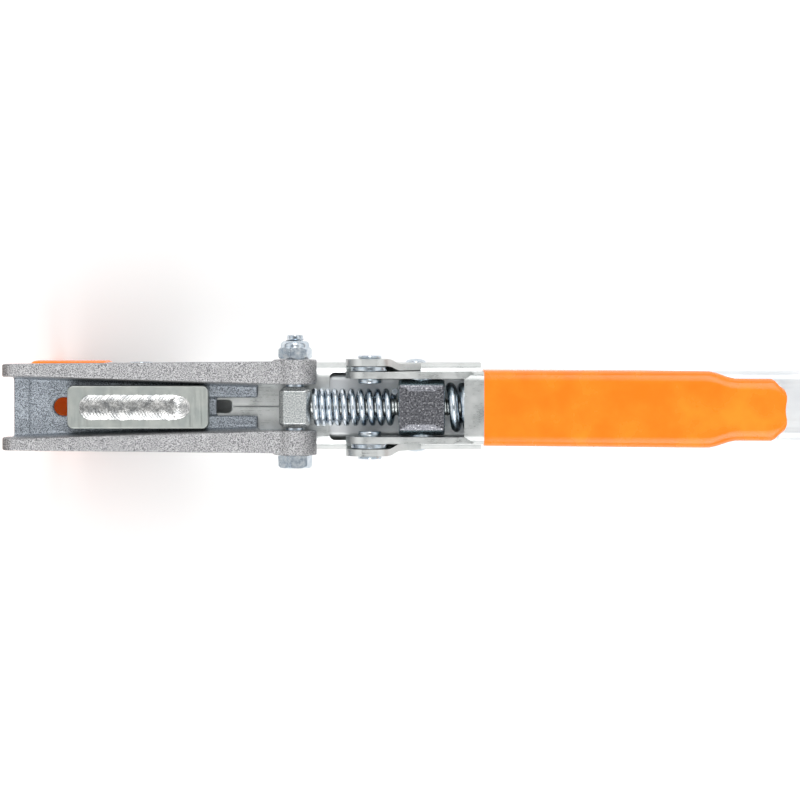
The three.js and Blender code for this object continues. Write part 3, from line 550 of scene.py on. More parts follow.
def dipped_vinyl():
    """Dipped vinyl: a strong orange with yellower clouds, a soft gloss and small dimples."""
    material, here = start_finish("dipped_vinyl")
    cloud = add_node(
        material, "ShaderNodeTexNoise",
        {"Vector": here, "Scale": 1 / (16 * MM), "Detail": 4.0, "Roughness": 0.55},
    )
    dimple = add_node(
        material, "ShaderNodeTexNoise", {"Vector": here, "Scale": 1 / (1.6 * MM), "Detail": 1.0},
    )
    swell = add_node(
        material, "ShaderNodeTexNoise", {"Vector": here, "Scale": 1 / (7 * MM), "Detail": 2.0},
    )
    colour = add_node(
        material, "ShaderNodeValToRGB", {"Fac": cloud.outputs["Fac"]},
        [(0.36, "#FF7800"), (0.54, "#FF8002"), (0.7, "#FF8A05")],
    )
    roughness = add_node(
        material, "ShaderNodeMapRange",
        {"Value": cloud.outputs["Fac"], "From Min": 0.3, "From Max": 0.7, "To Min": 0.2, "To Max": 0.32},
    )
    relief = add_node(
        material, "ShaderNodeMix", {"Factor": 0.7, "A": dimple.outputs["Fac"], "B": swell.outputs["Fac"]},
    )
    return end_finish(
        material, colour.outputs["Color"], roughness.outputs["Result"], relief.outputs["Result"],
        0.06 * MM, metallic=0.0, IOR=1.5,
    )


coat_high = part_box("fixed_jaw_coating")[1]
coating = steel_end
coating.name = coating.data.name = "jaw_coating"
choose(coating, "FACE", lambda middle, normal: True)
bpy.ops.mesh.bisect(
    plane_co=(coat_high.x - COAT, 0, 0), plane_no=(1, 0, 0), clear_outer=True, use_fill=True,
)
close()
work(coating, "REMESH", mode="VOXEL", voxel_size=0.8 * MM)
work(coating, "DISPLACE", strength=COAT, mid_level=0.0)
work(coating, "SMOOTH", factor=0.5, iterations=4)
shade(coating, 80)
vinyl = dipped_vinyl()
fit(coating, vinyl, "frame", "orange_vinyl", "fixed_jaw_coating")


# ---- Rivets, washers, jaw pin and bushes ---------------------------------------------------------
# Zinc-plated steel. Two domed rivets hold the tube in the sleeve. Two shouldered rivets carry the
# lever between the ears, each with a washer that fills the ear's step. The jaw swings on a flush
# pin, kept in the middle by two bushes.

HEAD_THICKNESS = 1.3 * MM
RIVET_SHANK = 4 * MM
RIVET_FOOT = 2 * MM  # the shoulder at a pivot rivet's inner end
RIVET_DISH = 0.55  # share of a head's radius outside its dished middle
WASHER_HOLE = 4.2 * MM
BUSH_HOLE = 5.2 * MM
PIN_RIM = 2.6 * MM
PIN_PEEN = (1.2 * MM, 0.5 * MM)  # width and depth of the peened groove


def blue_zinc():
    """Blue-passivated zinc on turned or drawn steel: a clear, cold shine with faint turning marks."""
    material, here = start_finish("blue_passivated_zinc")
    cloud = add_node(
        material, "ShaderNodeTexNoise",
        {"Vector": here, "Scale": 1 / (2.2 * MM), "Detail": 5.0, "Roughness": 0.6},
    )
    fine = add_node(
        material, "ShaderNodeTexNoise", {"Vector": here, "Scale": 1 / (0.3 * MM), "Detail": 3.0},
    )
    colour = add_node(
        material, "ShaderNodeValToRGB", {"Fac": cloud.outputs["Fac"]},
        [(0.34, "#A9B6C3"), (0.5, "#C3CDD6"), (0.68, "#DCE2E6")],
    )
    roughness = add_node(
        material, "ShaderNodeMapRange",
        {"Value": cloud.outputs["Fac"], "From Min": 0.3, "From Max": 0.7, "To Min": 0.1, "To Max": 0.26},
    )
    return end_finish(
        material, colour.outputs["Color"], roughness.outputs["Result"], fine.outputs["Fac"], 0.012 * MM,
    )


def ring(name, hole, outer, start, end, sides=64):
    """A round ring or bush between two points."""
    start, end = Vector(start), Vector(end)
    way = (end - start).normalized()
    made = round_bar(name, outer, start, end, sides)
    choose(made, "FACE", lambda middle, normal: abs(normal.dot(way)) > 0.9)
    bpy.ops.mesh.inset(thickness=outer - hole)
    bpy.ops.mesh.bridge_edge_loops()
    close()
    return made


bright_blue = blue_zinc()
for name, side in (("left", 1), ("right", -1)):
    across = Vector((0, side, 0))

    low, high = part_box(f"sleeve_rivet_{name}")
    middle = (low + high) / 2
    outer_y = high.y if side > 0 else -low.y
    dome_radius = (high.x - low.x) / 2
    bpy.ops.mesh.primitive_uv_sphere_add(
        segments=48, ring_count=24, radius=dome_radius,
        location=(middle.x, side * sleeve_out, middle.z), rotation=(math.pi / 2, 0, 0),
    )
    dome = settle(f"tube_rivet_{name}")
    choose(dome, "FACE", lambda at, normal: True)
    bpy.ops.transform.resize(
        value=(1, (outer_y - sleeve_out) / dome_radius, 1), center_override=(0, side * sleeve_out, 0),
    )
    close()
    shade(dome, 60)
    fit(dome, bright_blue, "frame", "bright_zinc", f"sleeve_rivet_{name}")

    low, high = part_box(f"pivot_rivet_{name}")
    near, far = (low.y, high.y) if side > 0 else (-high.y, -low.y)
    head = (high.x - low.x) / 2
    start, end = PIVOT + across * near, PIVOT + across * far
    rivet = round_bar(f"lever_rivet_{name}", RIVET_SHANK, start, end - across * 0.2 * MM)
    for a, b in ((start, start + across * RIVET_FOOT), (end - across * HEAD_THICKNESS, end)):
        disc = round_bar("head", head, a, b, 96)
        choose(disc, "FACE", lambda at, normal: abs(normal.y) > 0.9)
        bpy.ops.mesh.inset(thickness=head * RIVET_DISH)
        bpy.ops.mesh.bevel(offset=0.5 * MM, segments=2, affect="EDGES")
        close()
        ease(disc, 0.45 * MM, 60, 3)
        join_solid(rivet, disc)
    shade(rivet)
    fit(rivet, bright_blue, "frame", "blue_zinc", f"pivot_rivet_{name}")

    low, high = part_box(f"pivot_washer_{name}")
    washer = ring(
        f"washer_{name}", WASHER_HOLE, (high.x - low.x) / 2, PIVOT + Vector((0, low.y, 0)),
        PIVOT + Vector((0, high.y, 0)),
    )
    ease(washer, 0.3 * MM, 60)
    shade(washer)
    fit(washer, bright_blue, "frame", "bright_zinc", f"pivot_washer_{name}")

    low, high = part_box(f"jaw_spacer_{name}")
    middle = (low + high) / 2
    bush = ring(
        f"bush_{name}", BUSH_HOLE, (high.x - low.x) / 2, (middle.x, low.y, middle.z),
        (middle.x, high.y, middle.z),
    )
    ease(bush, 0.5 * MM, 60)
    shade(bush)
    fit(bush, bright_blue, "frame", "dark_steel", f"jaw_spacer_{name}")

low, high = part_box("jaw_pin")
middle = (low + high) / 2
pin = round_bar("pin", (high.x - low.x) / 2, (middle.x, low.y, middle.z), (middle.x, high.y, middle.z))
choose(pin, "FACE", lambda at, normal: abs(normal.y) > 0.9)
bpy.ops.mesh.inset(thickness=PIN_RIM)
bpy.ops.mesh.inset(thickness=PIN_PEEN[0], depth=-PIN_PEEN[1])
close()
ease(pin, 0.4 * MM, 60)
shade(pin)
fit(pin, bright_blue, "frame", "bright_zinc", "jaw_pin")


# ---- Cast jaw head -------------------------------------------------------------------------------
# Cast steel, shot-blasted and zinc plated: a floor with two tapering arms, a pair of lugs for the
# hinge bolt, and a boss whose top is milled flat. Its skin is coarse and every edge is rounded.

HEAD_FLOOR_TOP = 43.0 * MM
HEAD_FLOOR_STEP = 0.9 * MM  # the floor behind the lip, below the lip's top
HEAD_RECESS = 4 * MM
HEAD_LIP = (-154 * MM, -147.6 * MM)  # the floor's bare front edge
HEAD_FLOOR_RIGHT = -48.6 * MM
ARM_RIGHT = -45 * MM
ARM_HALF = (18.6 * MM, 19.7 * MM)  # outside, at the left end and by the lugs
ARM_WIDTH = (4.4 * MM, 9.3 * MM)
ARM_TOP = (51.9 * MM, 55.2 * MM)
ARM_DRAFT = 1.6 * MM  # how far the arms' inner walls lean in at the floor
BOLT = Vector((-32.2, 0, 47.8)) * MM
LUG_RADIUS = 9.3 * MM
LUG_INSIDE = 9.95 * MM
LUG_OUTSIDE = 20.55 * MM
BOSS = Vector((-130.2, -69.45, 9.35)) * MM
BOSS_TOP = 50.8 * MM
BOSS_CORNER = 2.6 * MM
HEAD_SLOT = Vector((-66.4, -44.6, 3.9)) * MM  # from, to and half width
HEAD_HOLE = Vector((-137, -124, 4)) * MM


def tapered_bar(name, left, right, half_left, half_right, low, top_left, top_right, draft=0.0):
    """A bar whose width and top change evenly from its left end to its right one."""
    made = bar(name, (left, -half_left, low), (right, half_left, top_left))
    choose(made, "FACE", lambda middle, normal: normal.x > 0.9)
    bpy.ops.transform.resize(value=(1, half_right / half_left, 1))
    close()
    choose(made, "VERT", lambda at, normal: at.x > right - MM and at.z > top_left - MM)
    bpy.ops.transform.translate(value=(0, 0, top_right - top_left))
    close()
    if draft:
        for side in (-1, 1):
            choose(made, "VERT", lambda at, normal: at.z < low + MM / 10 and at.y * side > 0)
            bpy.ops.transform.translate(value=(0, -side * draft, 0))
            close()
    return made


def blasted_casting():
    """Zinc on a blasted casting: grey with a speckle of grains 0.3 mm across, with painted shade making
    the floor colder and bluer and the arms' tops paler, and a brown painted shade at the arms' free ends."""
    material, here = start_finish("blasted_zinc_casting")
    grain = add_node(
        material, "ShaderNodeTexNoise",
        {"Vector": here, "Scale": 1 / (0.4 * MM), "Detail": 3.0, "Roughness": 0.7},
    )
    cloud = add_node(
        material, "ShaderNodeTexNoise", {"Vector": here, "Scale": 1 / (8 * MM), "Detail": 4.0},
    )
    # Painted shade: by height, the floor between the arms gets a darker, bluer grey than the arms' tops.
    place = add_node(material, "ShaderNodeSeparateXYZ", {"Vector": here})
    height = add_node(
        material, "ShaderNodeMapRange",
        {"Value": place.outputs["Z"], "From Min": HEAD_FLOOR_TOP, "From Max": ARM_TOP[0]},
    )
    height_shade_tint = add_node(
        material, "ShaderNodeValToRGB", {"Fac": height.outputs["Result"]},
        [(0.0, "#BFC7CF"), (0.85, "#CFCFD0")],
    )
    # Painted shade: the arms' free ends, which round away, are mixed towards a dark brown.
    free_end_shade = add_node(
        material, "ShaderNodeMapRange",
        {"Value": place.outputs["X"], "From Min": -158.5 * MM, "From Max": -153.5 * MM,
         "To Min": 0.75, "To Max": 0.0},
    )
    free_end_shaded = add_node(
        material, "ShaderNodeMix",
        {"Factor": free_end_shade.outputs["Result"], "A": height_shade_tint.outputs["Color"], "B": linear("#7C6E68")},
        data_type="RGBA",
    )
    speckle = add_node(
        material, "ShaderNodeValToRGB", {"Fac": grain.outputs["Fac"]},
        [(0.41, "#5C5D60"), (0.5, "#C4C4C6"), (0.56, "#FFFFFF")],
    )
    colour = add_node(
        material, "ShaderNodeMix",
        {"Factor": 0.92, "A": free_end_shaded.outputs["Result"], "B": speckle.outputs["Color"]},
        data_type="RGBA", blend_type="MULTIPLY",
    )
    roughness = add_node(
        material, "ShaderNodeMapRange",
        {"Value": cloud.outputs["Fac"], "From Min": 0.3, "From Max": 0.7, "To Min": 0.42, "To Max": 0.6},
    )
    return end_finish(
        material, colour.outputs["Result"], roughness.outputs["Result"], grain.outputs["Fac"], 0.2 * MM,
        metallic=0.85,
    )


def milled_casting():
    """The boss's milled and lightly plated face: grey-green, with cutter lines 0.3 mm apart."""
    material, here = start_finish("milled_casting")
    across = add_node(
        material, "ShaderNodeMapping",
        {"Vector": here, "Scale": (1 / (0.3 * MM), 1 / (14 * MM), 1 / (14 * MM))},
    )
    lines = add_node(
        material, "ShaderNodeTexNoise", {"Vector": across.outputs["Vector"], "Scale": 1.0, "Detail": 4.0},
    )
    cloud = add_node(
        material, "ShaderNodeTexNoise", {"Vector": here, "Scale": 1 / (6 * MM), "Detail": 4.0},
    )
    colour = add_node(
        material, "ShaderNodeValToRGB", {"Fac": cloud.outputs["Fac"]},
        [(0.35, "#A9AFAC"), (0.65, "#BDC1BC")],
    )
    roughness = add_node(
        material, "ShaderNodeMapRange",
        {"Value": lines.outputs["Fac"], "From Min": 0.3, "From Max": 0.7, "To Min": 0.28, "To Max": 0.5},
    )
    return end_finish(
        material, colour.outputs["Color"], roughness.outputs["Result"], lines.outputs["Fac"], 0.01 * MM,
    )


head_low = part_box("cast_head")[0]
head = tapered_bar(
    "head", head_low.x, BOLT.x, ARM_HALF[0], ARM_HALF[1], head_low.z, ARM_TOP[0], ARM_TOP[1],
)
round_edges(head, 4 * MM, 5, lambda at, along: at.x < head_low.x + MM / 10 and abs(along.y) > 0.9)
between = tapered_bar(
    "between", head_low.x - MM, ARM_RIGHT, ARM_HALF[0] - ARM_WIDTH[0], ARM_HALF[1] - ARM_WIDTH[1],
    HEAD_FLOOR_TOP, ARM_TOP[1] + MM, ARM_TOP[1] + MM, ARM_DRAFT,
)
front = bar("front", (head_low.x - MM, -13 * MM, 30 * MM), (HEAD_LIP[0], 13 * MM, 60 * MM))
step_down = tapered_bar(
    "step_down", HEAD_LIP[1], HEAD_FLOOR_RIGHT + 3 * MM, ARM_HALF[0] - ARM_WIDTH[0] - ARM_DRAFT - 0.4 * MM,
    ARM_HALF[1] - ARM_WIDTH[1] - ARM_DRAFT, HEAD_FLOOR_TOP - HEAD_FLOOR_STEP, HEAD_FLOOR_TOP + MM,
    HEAD_FLOOR_TOP + MM,
)
gap = bar(
    "gap", (HEAD_FLOOR_RIGHT, -LUG_INSIDE, 30 * MM), (BOLT.x + 20 * MM, LUG_INSIDE, 70 * MM),
)
cut(head, between, front, step_down, gap)
for side in (-1, 1):
    lug = round_bar(
        "lug", LUG_RADIUS, (BOLT.x, side * LUG_INSIDE, BOLT.z), (BOLT.x, side * LUG_OUTSIDE, BOLT.z), 96,
    )
    join_solid(head, lug)
boss_left, boss_right, boss_half = BOSS
slot_left, slot_right, slot_half = HEAD_SLOT
slot = bar("slot", (slot_left, -slot_half, 30 * MM), (slot_right, slot_half, 60 * MM))
recess = bar(
    "recess", (boss_right - MM, -slot_half, HEAD_FLOOR_TOP - HEAD_RECESS),
    (slot_left + MM, slot_half, 60 * MM),
)
hole_left, hole_right, hole_half = HEAD_HOLE
hole = wrap(
    "hole",
    round_bar(
        "end", hole_half, (hole_left + hole_half, 0, 30 * MM), (hole_left + hole_half, 0, 60 * MM),
    ),
    bar("side", (hole_right - MM, -hole_half, 30 * MM), (hole_right, hole_half, 60 * MM)),
)
cut(head, slot, recess, hole)
work(head, "REMESH", mode="VOXEL", voxel_size=0.55 * MM)
work(head, "SMOOTH", factor=0.6, iterations=5)
shade(head, 75)
casting = blasted_casting()
fit(head, casting, "jaw", "cast_zinc", "cast_head")

# The boss stands on the same casting. The flat bar comes up through it, under the weld.
boss = bar("boss", (boss_left, -boss_half, HEAD_FLOOR_TOP - 2 * MM), (boss_right, boss_half, BOSS_TOP))
round_edges(boss, BOSS_CORNER, 8, lambda middle, along: abs(along.z) > 0.9)
round_edges(
    boss, 0.7 * MM, 3, lambda middle, along: middle.z > BOSS_TOP - MM / 10 and abs(along.z) < 0.1,
)
shade(boss)
fit(boss, milled_casting(), "jaw", "cast_zinc")


# ---- Swinging jaw: flat bar, weld bead and toothed pad -------------------------------------------
# A 50 x 12 mm flat steel bar goes down through the boss and is welded level with its top in one
# run, left to right, which leaves shingled ripples and a crater. A toothed pad is welded to its
# lower end.

BAR_CORNER = 26 * MM  # the cut corner's height at the bar's lower right end
BAR_CORNER_LEAN = 0.85
PAD_TEETH = 7
PAD_TOOTH = 1.4 * MM
WELD_PITCH = 1.35 * MM
WELD_TILT = math.radians(11)
WELD_DROP = 0.42 * MM
WELD_SUNK = 0.35 * MM  # the bead's foot, below the boss's face
WELD_VOXEL = 0.2 * MM
CRATER_RINGS = ((4.6, 0.3), (3.1, 0.5), (1.7, 0.6), (0.5, 0.65))  # radius and height
CRATER_RIDGE = 0.38 * MM


def oiled_steel():
    """Oiled mill-scale steel: dark and uneven, with rust-brown freckles two millimetres wide."""
    material, here = start_finish("oiled_steel")
    scale = add_node(
        material, "ShaderNodeTexNoise",
        {"Vector": here, "Scale": 1 / (2 * MM), "Detail": 7.0, "Roughness": 0.65},
    )
    fine = add_node(
        material, "ShaderNodeTexNoise", {"Vector": here, "Scale": 1 / (0.4 * MM), "Detail": 3.0},
    )
    colour = add_node(
        material, "ShaderNodeValToRGB", {"Fac": scale.outputs["Fac"]},
        [(0.36, "#4A4542"), (0.5, "#5E5C60"), (0.66, "#77757B")],
    )
    roughness = add_node(
        material, "ShaderNodeMapRange",
        {"Value": scale.outputs["Fac"], "From Min": 0.3, "From Max": 0.7, "To Min": 0.52, "To Max": 0.3},
    )
    return end_finish(
        material, colour.outputs["Color"], roughness.outputs["Result"], fine.outputs["Fac"], 0.03 * MM,
    )


def weld_metal():
    """Fresh weld metal under thin zinc: bright, with a puckered skin of a millimetre."""
    material, here = start_finish("weld_metal")
    pucker = add_node(
        material, "ShaderNodeTexNoise",
        {"Vector": here, "Scale": 1 / (0.9 * MM), "Detail": 4.0, "Roughness": 0.6},
    )
    cloud = add_node(
        material, "ShaderNodeTexNoise", {"Vector": here, "Scale": 1 / (3 * MM), "Detail": 3.0},
    )
    colour = add_node(
        material, "ShaderNodeValToRGB", {"Fac": cloud.outputs["Fac"]},
        [(0.34, "#A4A6A7"), (0.5, "#CBCCCB"), (0.66, "#EAEAE8")],
    )
    roughness = add_node(
        material, "ShaderNodeMapRange",
        {"Value": pucker.outputs["Fac"], "From Min": 0.3, "From Max": 0.7, "To Min": 0.12, "To Max": 0.34},
    )
    return end_finish(
        material, colour.outputs["Color"], roughness.outputs["Result"], pucker.outputs["Fac"], 0.025 * MM,
    )


steel = oiled_steel()
bar_low, bar_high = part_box("jaw_bar")
flat = bar("flat_bar", bar_low, bar_high)
choose(flat, "FACE", lambda middle, normal: True)
bpy.ops.mesh.bisect(
    plane_co=(bar_high.x - BAR_CORNER * BAR_CORNER_LEAN, 0, bar_low.z),
    plane_no=(BAR_CORNER, 0, -BAR_CORNER * BAR_CORNER_LEAN),
    clear_outer=True, use_fill=True,
)
close()
ease(flat, 0.8 * MM, 40, 3)
shade(flat)
fit(flat, steel, "jaw", "dark_steel", "jaw_bar")

pad_low, pad_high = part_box("jaw_pad")
pad = bar("toothed_pad", pad_low, pad_high)
pitch = (pad_high.z - pad_low.z) / PAD_TEETH
for cutline in range(1, 2 * PAD_TEETH):
    choose(pad, "FACE", lambda middle, normal: True)
    bpy.ops.mesh.bisect(plane_co=(0, 0, pad_low.z + cutline * pitch / 2), plane_no=(0, 0, 1))
    close()
choose(
    pad, "VERT",
    lambda at, normal: at.x < pad_low.x + MM / 10 and round((at.z - pad_low.z) / pitch * 2) % 2 == 0,
)
bpy.ops.transform.translate(value=(PAD_TOOTH, 0, 0))
close()
ease(pad, 0.25 * MM, 40)
shade(pad)
fit(pad, steel, "jaw", "dark_steel", "jaw_pad")

weld_low, weld_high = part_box("weld_bead")
wander = random.Random(7)
base = BOSS_TOP - WELD_SUNK
half_width = (weld_high.y - weld_low.y) / 2
drops = []
length = weld_high.x - weld_low.x
count = int((length - 2 * half_width) / WELD_PITCH)
for drop in range(count + 1):
    share = drop / count
    radius = half_width * (0.94 + 0.05 * wander.random())
    at = (weld_low.x + half_width + (length - 2 * half_width) * share, 0.1 * MM * wander.uniform(-1, 1))
    bpy.ops.mesh.primitive_uv_sphere_add(
        segments=48, ring_count=16, radius=1, location=(at[0], at[1], base),
        scale=(half_width * 0.98, radius, WELD_DROP), rotation=(0, WELD_TILT, 0),
    )
    drops.append(settle("drop"))
crater = weld_high.x - half_width - 0.4 * MM
bpy.ops.mesh.primitive_uv_sphere_add(
    segments=48, ring_count=16, radius=1, location=(crater, 0, base),
    scale=(half_width, half_width * 0.96, 0.6 * MM),
)
drops.append(settle("drop"))
for ring_radius, tall in CRATER_RINGS:
    bpy.ops.mesh.primitive_torus_add(
        major_radius=ring_radius * MM, minor_radius=CRATER_RIDGE, major_segments=48, minor_segments=12,
        location=(crater, 0, base + tall * MM),
    )
    drops.append(settle("drop"))
under = bar(
    "under", (weld_low.x + 0.5 * MM, -half_width + 0.3 * MM, weld_low.z),
    (weld_high.x - 0.5 * MM, half_width - 0.3 * MM, base + 0.05 * MM),
)
round_edges(under, 3 * MM, 5, lambda middle, along: abs(along.z) > 0.9)
alone(under)
for drop in drops:
    drop.select_set(True)
bpy.ops.object.join()
weld = under
weld.name = weld.data.name = "weld_run"
work(weld, "REMESH", mode="VOXEL", voxel_size=WELD_VOXEL)
work(weld, "SMOOTH", factor=0.5, iterations=1)
shade(weld, 80)
fit(weld, weld_metal(), "jaw", "weld_metal", "weld_bead")


# ---- Hinge bolt and lock nut ---------------------------------------------------------------------
# An M8 hexagon bolt through the lugs and the rod's eye, cold headed, with a rolled thread, and a
# lock nut whose collar grips a nylon ring. Both are blue-passivated.

THREAD = 8 * MM
THREAD_PITCH = 1.25 * MM
FLATS = 13 * MM
HEX_TURN = math.radians(14.9)
HEAD_HEIGHT = 5.3 * MM
NUT_HEX = 4.9 * MM
NUT_HEIGHT = 7.7 * MM
NUT_RING_ROOM = 6.9 * MM
HEX_CHAMFER = 0.9 * MM  # how far the turned corners reach along the hexagon
THREAD_RIDGE = 0.56  # of the pitch
THREAD_CORE = 0.5


def hexagon(name, start, end, chamfer_low, chamfer_high):
    """A hexagon prism along Y, with its corners turned away at one or both ends."""
    start, end = Vector(start), Vector(end)
    corner = FLATS / math.sqrt(3)
    bpy.ops.mesh.primitive_cylinder_add(
        vertices=6, radius=corner, depth=(end - start).length, location=(start + end) / 2,
        rotation=(math.pi / 2, 0, 0),
    )
    made = settle(name)
    choose(made, "FACE", lambda middle, normal: True)
    bpy.ops.transform.rotate(value=HEX_TURN, orient_axis="Y", center_override=(start + end) / 2)
    close()
    turned = round_bar("turned", corner + 0.05 * MM, start, end, 96)
    low, high = min(start.y, end.y), max(start.y, end.y)
    for wanted, at in ((chamfer_low, low), (chamfer_high, high)):
        if wanted:
            choose(turned, "FACE", lambda middle, normal: abs(middle.y - at) < MM / 100)
            bpy.ops.transform.resize(value=(0.86, 1, 0.86))
            close()
            away = 1 if at == low else -1
            choose(turned, "FACE", lambda middle, normal: True)
            bpy.ops.mesh.bisect(plane_co=(0, at + away * HEX_CHAMFER, 0), plane_no=(0, 1, 0))
            close()
            choose(
                turned, "VERT",
                lambda place, normal: abs(place.y - at - away * HEX_CHAMFER) < MM / 100,
            )
            bpy.ops.transform.resize(
                value=(1.1, 1, 1.1), center_override=(start.x, at + away * HEX_CHAMFER, start.z),
            )
            close()
    join_solid(made, turned, "INTERSECT")
    return made


def thread(name, start, way, length, radius=THREAD / 2):
    """A rolled thread: a three-sided ridge wound round a core, from a point along a direction."""
    turns = max(1, int(length / THREAD_PITCH - 1.3))
    bpy.ops.mesh.primitive_circle_add(
        vertices=3, radius=THREAD_PITCH * THREAD_RIDGE, rotation=(math.pi / 2, math.pi / 2, 0),
        location=(radius - THREAD_PITCH * THREAD_RIDGE, 0, THREAD_PITCH * 0.6),
    )
    ridge = settle(name)
    work(
        ridge, "SCREW", axis="Z", angle=2 * math.pi, screw_offset=THREAD_PITCH, iterations=turns,
        steps=28, render_steps=28, use_normal_calculate=True,
    )
    choose(ridge, "EDGE", lambda middle, along: False)
    bpy.ops.mesh.select_non_manifold()
    bpy.ops.mesh.fill_holes(sides=0)
    bpy.ops.mesh.select_all(action="SELECT")
    bpy.ops.mesh.remove_doubles(threshold=1e-6)
    bpy.ops.mesh.normals_make_consistent(inside=False)
    close()
    core = round_bar("core", radius - THREAD_PITCH * THREAD_CORE, (0, 0, 0), (0, 0, length), 48)
    ease(core, 0.6 * MM, 60)
    alone(ridge)
    core.select_set(True)
    bpy.ops.object.join()
    turn = Vector((0, 0, 1)).rotation_difference(Vector(way)).to_matrix().to_4x4()
    ridge.matrix_world = Matrix.Translation(Vector(start)) @ turn
    alone(ridge)
    bpy.ops.object.transform_apply(location=True, rotation=True, scale=True)
    return ridge


bolt_low, bolt_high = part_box("rod_bolt")
nut_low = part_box("bolt_nut")[0]
seat_y = bolt_low.y + HEAD_HEIGHT
bolt = hexagon("hinge_bolt", (BOLT.x, bolt_low.y, BOLT.z), (BOLT.x, seat_y, BOLT.z), True, False)
ease(bolt, 0.2 * MM, 25)
shank = round_bar("shank", THREAD / 2, (BOLT.x, seat_y - 0.5 * MM, BOLT.z), (BOLT.x, nut_low.y, BOLT.z))
tail = thread("tail", (BOLT.x, nut_low.y - MM, BOLT.z), (0, 1, 0), bolt_high.y - nut_low.y + MM)
alone(bolt)
shank.select_set(True)
tail.select_set(True)
bpy.ops.object.join()
shade(bolt)
fit(bolt, bright_blue, "jaw", "blue_zinc", "rod_bolt")


def lock_nut(name, start):
    """A lock nut that opens along +Y from a point: hexagon, domed collar and a clear bore."""
    x, y, z = start
    made = hexagon(name, start, (x, y + NUT_HEX, z), True, True)
    collar = round_bar("collar", FLATS / 2 - 0.3 * MM, (x, y + NUT_HEX - MM, z), (x, y + NUT_HEIGHT, z), 96)
    round_edges(collar, 1.9 * MM, 6, lambda at, along: at.y > y + NUT_HEIGHT - 0.1 * MM)
    join_solid(made, collar)
    bore = round_bar("bore", THREAD / 2 + 0.15 * MM, (x, y - MM, z), (x, y + 9 * MM, z))
    room = round_bar("room", THREAD / 2 + 1.3 * MM, (x, y + NUT_HEX, z), (x, y + NUT_RING_ROOM, z))
    cut(made, bore, room)
    ease(made, 0.15 * MM, 30)
    shade(made)
    return made


def nylon():
    """Cast nylon: milky, soft and slightly shiny, with a faint lathe grain."""
    material, here = start_finish("nylon")
    grain = add_node(
        material, "ShaderNodeTexNoise", {"Vector": here, "Scale": 1 / (0.5 * MM), "Detail": 2.0},
    )
    colour = add_node(
        material, "ShaderNodeValToRGB", {"Fac": grain.outputs["Fac"]},
        [(0.4, "#DEDCD0"), (0.6, "#ECEAE0")],
    )
    return end_finish(
        material, colour.outputs["Color"], 0.45, grain.outputs["Fac"], 0.01 * MM, metallic=0.0, IOR=1.53,
    )


milky = nylon()
fit(lock_nut("lock_nut", (BOLT.x, nut_low.y, BOLT.z)), bright_blue, "jaw", "blue_zinc", "bolt_nut")
low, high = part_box("bolt_nut_ring")
grip_ring = ring(
    "nylon_ring", THREAD / 2 - 0.2 * MM, (high.x - low.x) / 2, (BOLT.x, low.y, BOLT.z),
    (BOLT.x, high.y, BOLT.z),
)
ease(grip_ring, 0.2 * MM, 60)
shade(grip_ring)
fit(grip_ring, milky, "jaw", "nylon", "bolt_nut_ring")


# ---- Eye rod, springs, seat and adjusting nut ----------------------------------------------------
# A square forged eye on an M8 rod, threaded all along. A thin return spring sits between the eye
# and the block, and a heavy spring of 4.3 mm wire behind the block, held by a washer and a lock
# nut. The springs are wound from drawn wire, and their end coils lie closer.

EYE_CHAMFER = 1.9 * MM
RETURN_SPRING = (16.2 * MM, 2.7 * MM)  # outside and wire
RETURN_FIRST = (2.8 * MM, 2.8 * MM, 3.0 * MM, 3.4 * MM)  # pitches of the turns beside the eye
RETURN_MIDDLE = 6
HEAVY_SPRING = (21.5 * MM, 4.3 * MM)
HEAVY_FIRST = (5.1 * MM,)
HEAVY_MIDDLE = 2
HEAVY_LAST = (4.8 * MM,)


def coil(name, start, length, outer, wire, first, middle_turns, last=()):
    """A spring along +X, wound in runs: the pitches of its first turns, its even middle turns,
    and the pitches of its last ones."""
    free = length - wire - sum(first) - sum(last)
    runs = [(1, pitch) for pitch in first] + [(middle_turns, free / middle_turns)]
    along, made = wire / 2, []
    for count, pitch in runs + [(1, pitch) for pitch in last]:
        bpy.ops.mesh.primitive_circle_add(
            vertices=16, radius=wire / 2, rotation=(0, math.pi / 2, 0),
            location=(0, (outer - wire) / 2, along),
        )
        part = settle(name)
        work(
            part, "SCREW", axis="Z", angle=2 * math.pi, screw_offset=pitch, iterations=count,
            steps=48, render_steps=48,
        )
        along += count * pitch
        made.append(part)
    alone(made[0])
    for part in made[1:]:
        part.select_set(True)
    bpy.ops.object.join()
    spring = made[0]
    choose(spring, "FACE", lambda middle, normal: True)
    bpy.ops.mesh.select_all(action="SELECT")
    bpy.ops.mesh.remove_doubles(threshold=2e-6)
    bpy.ops.mesh.select_mode(type="EDGE")
    bpy.ops.mesh.select_all(action="DESELECT")
    bpy.ops.mesh.select_non_manifold()
    bpy.ops.mesh.fill_holes(sides=0)
    bpy.ops.mesh.select_all(action="SELECT")
    bpy.ops.mesh.normals_make_consistent(inside=False)
    close()
    turn = Matrix.Rotation(math.pi / 2, 4, "Y")
    spring.matrix_world = Matrix.Translation(Vector(start)) @ turn
    alone(spring)
    bpy.ops.object.transform_apply(location=True, rotation=True, scale=True)
    shade(spring, 60)
    return spring


eye_low, eye_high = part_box("eye_rod")
EYE_RIGHT = BOLT.x + (BOLT.x - eye_low.x)
eye = bar("eye_and_rod", (eye_low.x, eye_low.y, eye_low.z), (EYE_RIGHT, eye_high.y, eye_high.z))
ease(eye, EYE_CHAMFER, 60, 1)
ease(eye, 0.3 * MM, 30)
threaded = thread("threaded", (EYE_RIGHT - 1.5 * MM, 0, BOLT.z), (1, 0, 0), eye_high.x - EYE_RIGHT + MM)
alone(eye)
threaded.select_set(True)
bpy.ops.object.join()
shade(eye)


